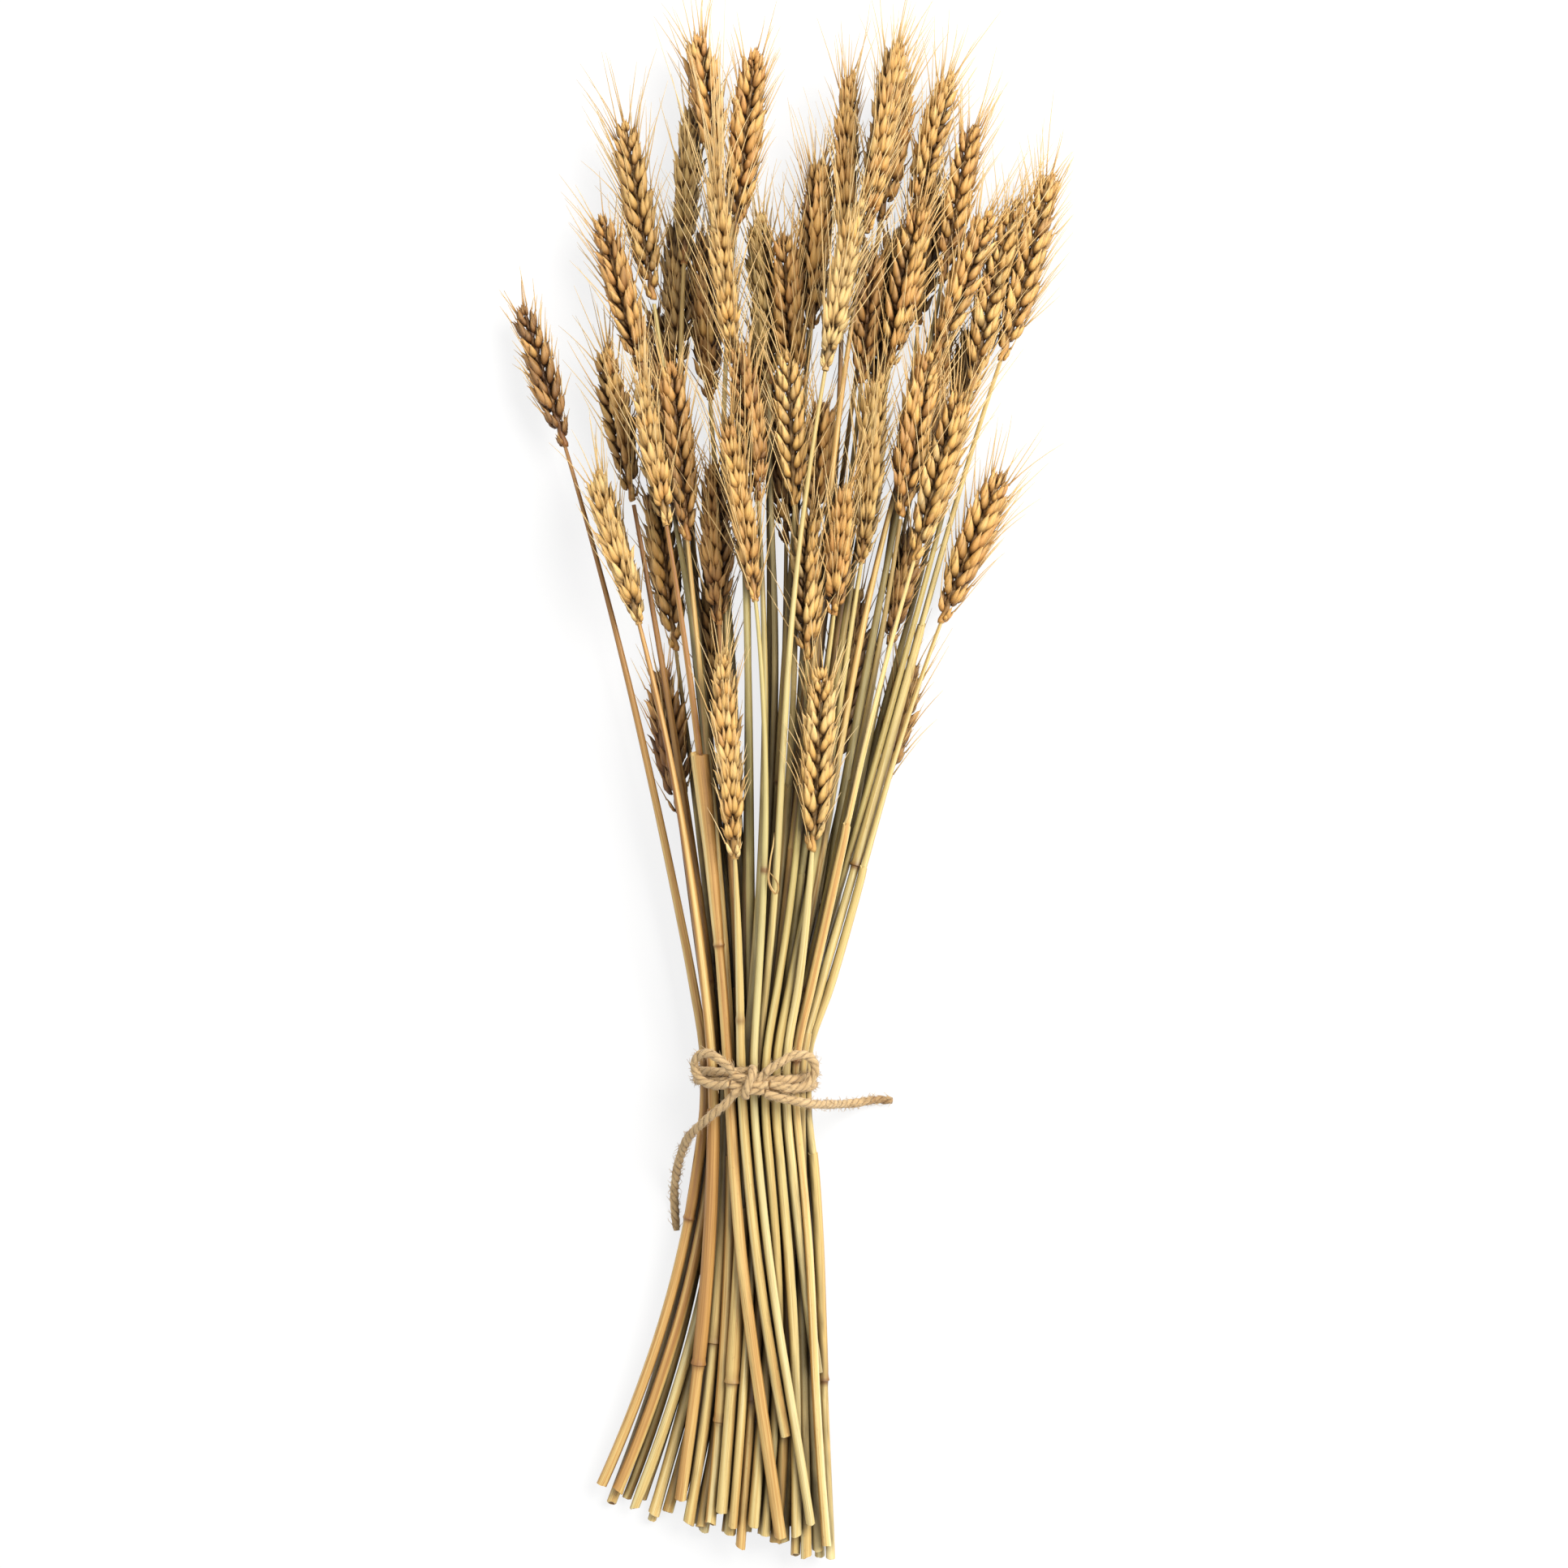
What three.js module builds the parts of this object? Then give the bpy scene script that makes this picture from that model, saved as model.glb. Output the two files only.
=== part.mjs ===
// A bundle of dried wheat, tied at the waist with jute twine and lying on its side.
// Millimetres, +Z up. The bundle is laid out with its tie at y = 0, its ears towards +Y and its
// cut ends towards -Y, and is centred over the origin at the end.
import * as THREE from 'three';

// Stems
const STEM_RADIUS_AT_CUT = 2.3;
const STEM_RADIUS_AT_TIE = 2.05;
const STEM_RADIUS_AT_NECK = 1.3;
const STEM_RADIUS_VARIATION = 0.12;
const STALK_SIDES = 6;
const CLOSEST_RINGS = 2.5;
const LEAVING_SHARE = 0.8;

// Ears
const EAR_RADIUS = 5.9;
const EAR_RADIUS_VARIATION = 0.1;
const EAR_OUTLINE = [[0.08, 0.72], [0.3, 1], [0.7, 0.93], [0.92, 0.5]];
const LAYER_COUNT = 9;
const LOWEST_EAR_HEIGHT = 5;
const HIGHEST_EAR_HEIGHT = 48;
const TIP_HEIGHT_VARIATION = 3;
const EAR_HALF_SPREAD = 110;
const EDGE_FLATTENING = 0.6;

// Tie: the stems fill an ellipse, and the lowest strand of twine rests on the floor
const GAP = 0.3;
const TIE_HALF_WIDTH = 20.5;
const TIE_HALF_HEIGHT = 17;
const TIE_HALF_LENGTH = 8;
const TIE_FILLING = 0.9;
const WIDEST_SLOPE = 0.36;
const TWINE_RADIUS = 1.7;
const TWINE_SIDES = 8;
const TWINE_TURNS = 2;
const TWINE_PITCH = 2 * TWINE_RADIUS + GAP;
const STEPS_PER_TURN = 28;
const TIE_HEIGHT = TIE_HALF_HEIGHT + GAP + 2 * TWINE_RADIUS;

// Bow
const KNOT_HALF_SIZE = new THREE.Vector3(7, 6, 4);
const KNOT_TOP = TIE_HEIGHT + TIE_HALF_HEIGHT + 2 * GAP + 2 * TWINE_RADIUS + 2 * KNOT_HALF_SIZE.z;
const KNOT_CENTRE = new THREE.Vector3(-2, 0, KNOT_TOP - KNOT_HALF_SIZE.z);
const KNOT_EXIT_GAP = 0.6;
const KNOT_FACES_AROUND = 14;
const KNOT_FACES_UP = 8;
const CORD_STEP = 3 * 2 * TWINE_RADIUS;
const LOOP_STEP = 2 * TWINE_RADIUS;

// Cut ends
const CUT_LENGTH = 174;
const CUT_LENGTH_VARIATION = 8;
const CUT_SLANT = 0.22;
const CUT_FANS = [
  { lowestLayer: 1, highestLayer: 4, left: -57, right: 24, shuffle: 0 },
  { lowestLayer: 5, highestLayer: 7, left: -28, right: 27, shuffle: 7 },
  { lowestLayer: 8, highestLayer: 9, left: -12, right: 27, shuffle: 14 },
];
const CUT_HEIGHT_SHARE = 0.5;
const CUT_FLARE = 2;

// How the stalks settle against each other
const STATION_STEP = 28;
const STATIONS_BELOW_TIE = 7;
const STATIONS_ABOVE_TIE = 15;
const SAMPLE_STEP = 4;
const REACH_PAST_ENDS = 2;
const SMALLEST_DISTANCE = 0.01;
const SETTLING_PASSES = 350;
const TARGET_PULL = 0.12;
const STRAIGHTENING = 0.3;
const FADE_SPEED = 1.3;

// One row for each stalk: [ear base x, y], [ear tip x, y], layer from 1 at the floor to 9 on top, and
// the length below the tie of a stem that was cut short.
const STALKS = [
  [[-73, 243], [-91, 300], 4],
  [[-47, 222], [-59, 284], 4],
  [[-43, 174], [-62, 234], 7],
  [[-33, 211], [-44, 268], 8],
  [[-26, 206], [-33, 274], 6],
  [[-41, 267], [-60, 333], 5],
  [[-39, 299], [-51, 369], 4],
  [[-15, 349], [-24, 401], 4],
  [[-29, 313], [-23, 376], 3],
  [[-8, 273], [-16, 352], 7],
  [[-9, 324], [0, 395], 4],
  [[8, 267], [1, 334], 3],
  [[-28, 273], [-30, 333], 2],
  [[19, 264], [12, 326], 4],
  [[34, 319], [36, 387], 5],
  [[41, 322], [54, 397], 8],
  [[19, 288], [24, 355], 4],
  [[26, 269], [40, 335], 9],
  [[41, 267], [45, 319], 4],
  [[60, 331], [75, 389], 4],
  [[72, 305], [84, 369], 5],
  [[64, 291], [68, 354], 2],
  [[68, 276], [90, 335], 6],
  [[85, 264], [103, 340], 5],
  [[92, 276], [113, 350], 5],
  [[51, 272], [64, 336], 6],
  [[16, 219], [12, 278], 7],
  [[2, 182], [-10, 254], 9],
  [[-14, 174], [-16, 237], 5],
  [[-7, 85], [-13, 166], 9, 137],
  [[23, 160], [24, 219], 8],
  [[22, 88], [25, 158], 9, 113],
  [[39, 197], [46, 270], 8],
  [[29, 177], [35, 229], 8],
  [[26, 213], [28, 260], 5],
  [[57, 215], [66, 279], 7],
  [[59, 198], [79, 264], 8],
  [[70, 175], [96, 235], 5],
  [[46, 113], [58, 162], 2],
  [[-30, 102], [-37, 158], 2],
  [[52, 167], [61, 214], 3],
  [[11, 206], [9, 254], 3],
  [[1, 220], [-7, 281], 8],
  [[77, 251], [83, 291], 2],
  [[-30, 235], [-39, 300], 1],
  [[-19, 262], [-24, 328], 1],
  [[5, 235], [2, 300], 1],
  [[46, 262], [55, 330], 1],
  [[60, 225], [74, 290], 1],
  [[-31, 165], [-40, 230], 1],
  [[20, 290], [26, 355], 2],
  [[48, 330], [58, 388], 3],
  [[-14, 130], [-16, 200], 1],
  [[30, 120], [38, 190], 1],
];

// Places along Y at which every stalk has a bend: the two faces of the tie, then even steps.
const STATIONS = [];
for (let k = STATIONS_BELOW_TIE; k >= 0; k -= 1) {
  STATIONS.push(-TIE_HALF_LENGTH - k * STATION_STEP);
}
for (let k = 0; k <= STATIONS_ABOVE_TIE; k += 1) {
  STATIONS.push(TIE_HALF_LENGTH + k * STATION_STEP);
}

const STEM_COLOUR = 0xd9c08a;
const TWINE_COLOUR = 0xb9996a;

const RANDOM_FACTOR = 16807;
const RANDOM_RANGE = 2147483647;
let seed = 20;

// A repeatable random number between -1 and 1.
function jitter() {
  seed = (seed * RANDOM_FACTOR) % RANDOM_RANGE;
  return (2 * seed) / RANDOM_RANGE - 1;
}

function lerpOnPoints(points, y) {
  if (y <= points[0][0]) {
    return points[0][1];
  }
  for (let i = 1; i < points.length; i += 1) {
    const [y0, r0] = points[i - 1];
    const [y1, r1] = points[i];
    if (y <= y1) {
      return r0 + ((r1 - r0) * (y - y0)) / (y1 - y0);
    }
  }
  return points[points.length - 1][1];
}

function hermite(start, startSlope, end, endSlope, length, t) {
  const t2 = t * t;
  const t3 = t2 * t;
  const fromStart = (2 * t3 - 3 * t2 + 1) * start + (t3 - 2 * t2 + t) * length * startSlope;
  const toEnd = (-2 * t3 + 3 * t2) * end + (t3 - t2) * length * endSlope;
  return fromStart + toEnd;
}

function earHeight(layer, x) {
  const rise = (layer - 1) / (LAYER_COUNT - 1);
  const flattening = 1 - EDGE_FLATTENING * (x / EAR_HALF_SPREAD) ** 2;
  return LOWEST_EAR_HEIGHT + rise * (HIGHEST_EAR_HEIGHT - LOWEST_EAR_HEIGHT) * flattening;
}

// Radius along the stalk, as [y, radius] points from the cut end to the tip of the ear.
function radiusPoints(stalk) {
  const stemScale = 1 + STEM_RADIUS_VARIATION * jitter();
  const earRadius = EAR_RADIUS * (1 + EAR_RADIUS_VARIATION * jitter());
  const earLength = stalk.tip.y - stalk.base.y;
  const outline = EAR_OUTLINE.map(([along, share]) => [stalk.base.y + along * earLength, share * earRadius]);
  return [
    [stalk.cut.y, STEM_RADIUS_AT_CUT * stemScale],
    [0, STEM_RADIUS_AT_TIE * stemScale],
    [stalk.base.y, STEM_RADIUS_AT_NECK],
    ...outline,
    [stalk.tip.y, 0],
  ];
}

// Where the stalk would run if it were alone, as x and z at a given y.
function freeLine(stalk, y) {
  const { cut, waist, base, tip } = stalk;
  if (y < 0) {
    const t = y / cut.y;
    return { x: waist.x + (cut.x - waist.x) * t ** CUT_FLARE, z: waist.z + (cut.z - waist.z) * t };
  }
  if (y < base.y) {
    const t = y / base.y;
    const slopeX = (tip.x - base.x) / (tip.y - base.y);
    const slopeZ = (tip.z - base.z) / (tip.y - base.y);
    const leaveX = (LEAVING_SHARE * (base.x - waist.x)) / base.y;
    const leaveZ = (base.z - waist.z) / base.y;
    return {
      x: hermite(waist.x, leaveX, base.x, slopeX, base.y, t),
      z: hermite(waist.z, leaveZ, base.z, slopeZ, base.y, t),
    };
  }
  const t = (y - base.y) / (tip.y - base.y);
  return { x: base.x + (tip.x - base.x) * t, z: base.z + (tip.z - base.z) * t };
}

function readStalks() {
  const stalks = STALKS.map(([[baseX, baseY], [tipX, tipY], layer, shortLength]) => ({
    layer,
    shortLength,
    base: { x: baseX, y: baseY, z: earHeight(layer, baseX) },
    tip: { x: tipX, y: tipY, z: earHeight(layer, tipX) + TIP_HEIGHT_VARIATION * jitter() },
    waist: {
      x: (TIE_HALF_WIDTH * baseX) / baseY / WIDEST_SLOPE,
      z: TIE_HEIGHT + TIE_FILLING * TIE_HALF_HEIGHT * ((2 * (layer - 1)) / (LAYER_COUNT - 1) - 1),
    },
  }));
  for (const { lowestLayer, highestLayer, left, right, shuffle } of CUT_FANS) {
    const fan = stalks.filter(({ layer }) => layer >= lowestLayer && layer <= highestLayer);
    spreadCutEnds(fan, left, right, shuffle);
  }
  for (const stalk of stalks) {
    stalk.radii = radiusPoints(stalk);
    stalk.line = STATIONS.map((y) => freeLine(stalk, y));
    stalk.free = STATIONS.map((y) => freeLine(stalk, y));
  }
  return stalks;
}

// The cut ends fan out nearly in the order in which the stems pass the tie; some change places.
function spreadCutEnds(group, left, right, shuffle) {
  const order = group.map((stalk) => ({ stalk, rank: stalk.waist.x + shuffle * jitter() }));
  order.sort((a, b) => a.rank - b.rank);
  order.forEach(({ stalk }, place) => {
    const x = left + ((right - left) * place) / (group.length - 1);
    const z = (stalk.waist.z - TIE_HEIGHT + TIE_HALF_HEIGHT) * CUT_HEIGHT_SHARE + STEM_RADIUS_AT_CUT;
    const length = CUT_LENGTH + CUT_SLANT * x + CUT_LENGTH_VARIATION * jitter();
    stalk.cut = { x, y: -(stalk.shortLength ?? length), z };
  });
}

function pullToFreeLine(stalk, pull) {
  stalk.line.forEach((point, k) => {
    point.x += pull * (stalk.free[k].x - point.x);
    point.z += pull * (stalk.free[k].z - point.z);
  });
}

function straighten(stalk, stiffness) {
  for (let k = 1; k < STATIONS.length - 1; k += 1) {
    const before = stalk.line[k - 1];
    const point = stalk.line[k];
    const after = stalk.line[k + 1];
    const share = (STATIONS[k] - STATIONS[k - 1]) / (STATIONS[k + 1] - STATIONS[k - 1]);
    point.x += stiffness * (before.x + (after.x - before.x) * share - point.x);
    point.z += stiffness * (before.z + (after.z - before.z) * share - point.z);
  }
}

// Which two stations y lies between, and how far it is from the first to the second.
function placeOf(y) {
  const last = STATIONS.length - 2;
  const after = STATIONS.findIndex((station) => station > y);
  const k = after < 0 ? last : THREE.MathUtils.clamp(after - 1, 0, last);
  return { k, share: (y - STATIONS[k]) / (STATIONS[k + 1] - STATIONS[k]) };
}

function pointAt(stalk, { k, share }) {
  const from = stalk.line[k];
  const to = stalk.line[k + 1];
  return { x: from.x + (to.x - from.x) * share, z: from.z + (to.z - from.z) * share };
}

function move(stalk, { k, share }, dx, dz) {
  const weight = (1 - share) ** 2 + share ** 2;
  stalk.line[k].x += (dx * (1 - share)) / weight;
  stalk.line[k].z += (dz * (1 - share)) / weight;
  stalk.line[k + 1].x += (dx * share) / weight;
  stalk.line[k + 1].z += (dz * share) / weight;
}

// Pushes overlapping stalks apart where they pass one plane across the bundle.
function separateAt(stalks, y) {
  const place = placeOf(y);
  const present = stalks.filter(
    ({ cut, tip }) => y >= cut.y - REACH_PAST_ENDS && y <= tip.y + REACH_PAST_ENDS,
  );
  const discs = present.map((stalk) => ({
    stalk,
    at: pointAt(stalk, place),
    radius: lerpOnPoints(stalk.radii, y),
  }));
  for (let i = 0; i < discs.length; i += 1) {
    for (let j = i + 1; j < discs.length; j += 1) {
      const a = discs[i];
      const b = discs[j];
      const dx = b.at.x - a.at.x;
      const dz = b.at.z - a.at.z;
      const distance = Math.hypot(dx, dz) || SMALLEST_DISTANCE;
      const lack = a.radius + b.radius + GAP - distance;
      if (lack > 0) {
        const pushX = (0.5 * lack * dx) / distance;
        const pushZ = (0.5 * lack * dz) / distance;
        move(a.stalk, place, -pushX, -pushZ);
        move(b.stalk, place, pushX, pushZ);
        a.at = pointAt(a.stalk, place);
        b.at = pointAt(b.stalk, place);
      }
    }
  }
  for (const { stalk, radius } of discs) {
    const at = pointAt(stalk, place);
    if (Math.abs(y) <= TIE_HALF_LENGTH) {
      const reachX = at.x / (TIE_HALF_WIDTH - radius);
      const reachZ = (at.z - TIE_HEIGHT) / (TIE_HALF_HEIGHT - radius);
      const excess = 1 / Math.max(1, Math.hypot(reachX, reachZ)) - 1;
      move(stalk, place, at.x * excess, (at.z - TIE_HEIGHT) * excess);
    }
    if (at.z < radius) {
      move(stalk, place, 0, radius - at.z);
    }
  }
}

function settle(stalks) {
  for (let pass = 0; pass < SETTLING_PASSES; pass += 1) {
    const fade = Math.max(0, 1 - (FADE_SPEED * pass) / SETTLING_PASSES);
    for (const stalk of stalks) {
      pullToFreeLine(stalk, TARGET_PULL * fade);
      straighten(stalk, STRAIGHTENING * fade);
    }
    for (let y = STATIONS[0]; y < STATIONS.at(-1); y += SAMPLE_STEP) {
      separateAt(stalks, y);
    }
  }
}

// A stalk is a turned shape whose rings are slid sideways onto the stalk's own line.
function stalkGeometry(stalk) {
  const rings = stalk.radii.slice(0, -1).filter(([y]) => y !== 0);
  for (const y of STATIONS) {
    const isClear = rings.every(([ringY]) => Math.abs(ringY - y) > CLOSEST_RINGS);
    if (isClear && y > stalk.cut.y && y < stalk.tip.y - CLOSEST_RINGS) {
      rings.push([y, lerpOnPoints(stalk.radii, y)]);
    }
  }
  rings.sort((a, b) => a[0] - b[0]);
  const outline = [new THREE.Vector2(0, stalk.cut.y)];
  for (const [y, radius] of rings) {
    outline.push(new THREE.Vector2(radius, y));
  }
  outline.push(new THREE.Vector2(0, stalk.tip.y));
  const geometry = new THREE.LatheGeometry(outline, STALK_SIDES);
  const place = geometry.attributes.position;
  for (let i = 0; i < place.count; i += 1) {
    const { x, z } = pointAt(stalk, placeOf(place.getY(i)));
    place.setXYZ(i, place.getX(i) + x, place.getY(i), place.getZ(i) + z);
  }
  geometry.computeVertexNormals();
  return geometry;
}

function twineSection() {
  const corners = [];
  for (let i = 0; i < TWINE_SIDES; i += 1) {
    const angle = (2 * Math.PI * i) / TWINE_SIDES;
    corners.push(new THREE.Vector2(TWINE_RADIUS * Math.cos(angle), TWINE_RADIUS * Math.sin(angle)));
  }
  return new THREE.Shape(corners);
}

function twineAlong(points, step) {
  const curve = new THREE.CatmullRomCurve3(points);
  const steps = Math.round(curve.getLength() / step);
  return new THREE.ExtrudeGeometry(twineSection(), { steps, extrudePath: curve, bevelEnabled: false });
}

// Two turns around the stems, both ends under the knot.
function bandGeometry() {
  const reach = GAP + TWINE_RADIUS;
  const points = [];
  for (let i = 0; i <= TWINE_TURNS * STEPS_PER_TURN; i += 1) {
    const turn = i / STEPS_PER_TURN;
    const angle = 2 * Math.PI * turn;
    const x = (TIE_HALF_WIDTH + reach) * Math.sin(angle);
    const z = TIE_HEIGHT + (TIE_HALF_HEIGHT + reach) * Math.cos(angle);
    points.push(new THREE.Vector3(x, TWINE_PITCH * (turn - TWINE_TURNS / 2), z));
  }
  return twineAlong(points, (2 * Math.PI * (TIE_HALF_WIDTH + reach)) / STEPS_PER_TURN);
}

function knotGeometry() {
  const knot = new THREE.SphereGeometry(1, KNOT_FACES_AROUND, KNOT_FACES_UP);
  knot.scale(KNOT_HALF_SIZE.x, KNOT_HALF_SIZE.y, KNOT_HALF_SIZE.z);
  return knot.translate(KNOT_CENTRE.x, KNOT_CENTRE.y, KNOT_CENTRE.z);
}

// The point just off the knot where twine leaves it, at an angle from +X and a rise from level.
function knotExit(angleDegrees, riseDegrees) {
  const angle = THREE.MathUtils.degToRad(angleDegrees);
  const rise = THREE.MathUtils.degToRad(riseDegrees);
  const level = Math.cos(rise);
  const way = new THREE.Vector3(level * Math.cos(angle), level * Math.sin(angle), Math.sin(rise));
  const reach = 1 / way.clone().divide(KNOT_HALF_SIZE).length();
  return way.multiplyScalar(reach + KNOT_EXIT_GAP).add(KNOT_CENTRE);
}

function route(from, places, to = null) {
  const points = [from, ...places.map(([x, y, z]) => new THREE.Vector3(x, y, z))];
  return to ? [...points, to] : points;
}

const leftLoop = route(
  knotExit(148, 12),
  [
    [-12.5, 8, 46.6],
    [-17.5, 10.8, 44.4],
    [-21.6, 9.6, 41.4],
    [-22.9, 5.2, 39.4],
    [-20.6, 0.6, 39.8],
    [-15, -1.4, 42.8],
  ],
  knotExit(184, 0),
);
const rightLoop = route(
  knotExit(32, 12),
  [
    [9.5, 7.6, 46.8],
    [15, 10.2, 44.6],
    [20.6, 9.2, 41.4],
    [22.8, 4.6, 39.2],
    [20.4, -0.8, 39.8],
    [13.5, -2.6, 42.9],
  ],
  knotExit(-4, 0),
);
const leftTail = route(knotExit(218, -4), [
  [-11.5, -8.5, 44],
  [-16.5, -12.8, 41],
  [-21.5, -17.5, 35.5],
  [-25.5, -22.5, 28],
  [-28, -28, 20.5],
  [-30, -35, 13],
  [-31.2, -42, 7],
  [-31.6, -49, 3.2],
  [-31.3, -55, 1.9],
  [-30.8, -61, 1.8],
]);
const rightTail = route(knotExit(-36, -4), [
  [9, -5.8, 45.3],
  [15, -7.2, 43],
  [20.5, -8.6, 38.5],
  [24.8, -9.5, 32],
  [28, -10.1, 25],
  [31.5, -10.6, 18],
  [36, -10.9, 11],
  [41.5, -10.8, 5.5],
  [47, -10.2, 2.6],
  [53, -10.6, 1.8],
]);

const bundle = new THREE.Group();

function addPiece(name, geometry, colour, roughness) {
  const material = new THREE.MeshStandardMaterial({ color: colour, roughness, metalness: 0 });
  const mesh = new THREE.Mesh(geometry, material);
  mesh.name = name;
  bundle.add(mesh);
}

const stalks = readStalks();
settle(stalks);
stalks.forEach((stalk, i) => {
  addPiece(`stalk_${String(i + 1).padStart(2, '0')}`, stalkGeometry(stalk), STEM_COLOUR, 0.7);
});
addPiece('twine_band', bandGeometry(), TWINE_COLOUR, 0.9);
addPiece('twine_knot', knotGeometry(), TWINE_COLOUR, 0.9);

// The free twine isn't counted when the bundle is centred over the origin.
const box = new THREE.Box3().setFromObject(bundle);
const centre = box.getCenter(new THREE.Vector3());
bundle.position.set(-centre.x, -centre.y, -box.min.z);

addPiece('bow_loop_left', twineAlong(leftLoop, LOOP_STEP), TWINE_COLOUR, 0.9);
addPiece('bow_loop_right', twineAlong(rightLoop, LOOP_STEP), TWINE_COLOUR, 0.9);
addPiece('twine_tail_left', twineAlong(leftTail, CORD_STEP), TWINE_COLOUR, 0.9);
addPiece('twine_tail_right', twineAlong(rightTail, CORD_STEP), TWINE_COLOUR, 0.9);

const wheat = new THREE.Group();
wheat.add(bundle);

export default wheat;
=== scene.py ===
"""Looks of the bundle of dried wheat: straws, ears, awns and jute bow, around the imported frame."""
import math

import bmesh
import bpy
import numpy as np
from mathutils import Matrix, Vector


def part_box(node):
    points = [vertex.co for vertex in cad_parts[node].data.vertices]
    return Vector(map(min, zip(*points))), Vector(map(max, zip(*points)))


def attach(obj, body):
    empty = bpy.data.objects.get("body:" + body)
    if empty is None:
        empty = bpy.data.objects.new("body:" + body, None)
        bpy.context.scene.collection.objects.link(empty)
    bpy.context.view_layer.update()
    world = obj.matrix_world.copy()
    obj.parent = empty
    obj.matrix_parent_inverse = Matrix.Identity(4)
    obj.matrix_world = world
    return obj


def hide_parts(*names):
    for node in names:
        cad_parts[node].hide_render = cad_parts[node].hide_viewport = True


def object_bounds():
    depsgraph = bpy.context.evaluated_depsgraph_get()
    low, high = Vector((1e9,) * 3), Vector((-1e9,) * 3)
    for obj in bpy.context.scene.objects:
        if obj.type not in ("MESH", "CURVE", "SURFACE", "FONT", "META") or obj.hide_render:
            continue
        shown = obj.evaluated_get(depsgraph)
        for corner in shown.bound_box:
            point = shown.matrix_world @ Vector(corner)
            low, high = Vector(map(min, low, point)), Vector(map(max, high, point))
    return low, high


MM = 0.001
# The least that anything is divided by.
TINY = 1e-9

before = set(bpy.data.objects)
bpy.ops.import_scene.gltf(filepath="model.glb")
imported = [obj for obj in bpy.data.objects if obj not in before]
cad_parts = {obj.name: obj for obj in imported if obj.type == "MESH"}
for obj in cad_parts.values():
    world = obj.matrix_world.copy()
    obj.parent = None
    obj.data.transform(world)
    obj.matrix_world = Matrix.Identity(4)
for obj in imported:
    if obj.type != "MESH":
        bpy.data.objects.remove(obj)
cad_low, cad_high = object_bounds()
cad_low_array, cad_high_array = np.array(cad_low), np.array(cad_high)

# ---------------------------------------------------------------- limits and camera

# The camera looks straight down and sees this width, in m, at this height over the floor.
VIEW_WIDTH = 0.5990
VIEW_HEIGHT_ON_OBJECT = 0.025
LENS_MM = 85.0
SENSOR_MM = 36.0
VIEW_CENTRE = (-0.0006, 0.0052)

# How far the finest parts may stand out of the frame's box, and how far they stay off the floor.
FLOOR_CLEARANCE = 0.15 * MM
SIDE_ROOM = 7 * MM
END_ROOM = 24 * MM
TOP_ROOM = 9 * MM


def make_camera():
    data = bpy.data.cameras.new("camera")
    data.lens = LENS_MM
    data.sensor_width = SENSOR_MM
    camera = bpy.data.objects.new("camera", data)
    height = VIEW_HEIGHT_ON_OBJECT + VIEW_WIDTH * LENS_MM / SENSOR_MM
    camera.location = (*VIEW_CENTRE, height)
    bpy.context.scene.collection.objects.link(camera)
    bpy.context.scene.camera = camera


make_camera()

# ---------------------------------------------------------------- the stalks of the frame

STALK_NAMES = sorted(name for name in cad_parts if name.startswith("stalk_"))
# Rings of a stalk's solid stand further apart than this.
RING_GAP = 0.5 * MM
# The ear starts where one ring is this many times as wide as the ring before it.
NECK_GROWTH = 1.8
# How often and how strongly corners of the line are eased, and how far at the most each time.
EASING_ROUNDS = 3
EASING = 0.35
EASING_REACH = 0.5 * MM


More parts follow.
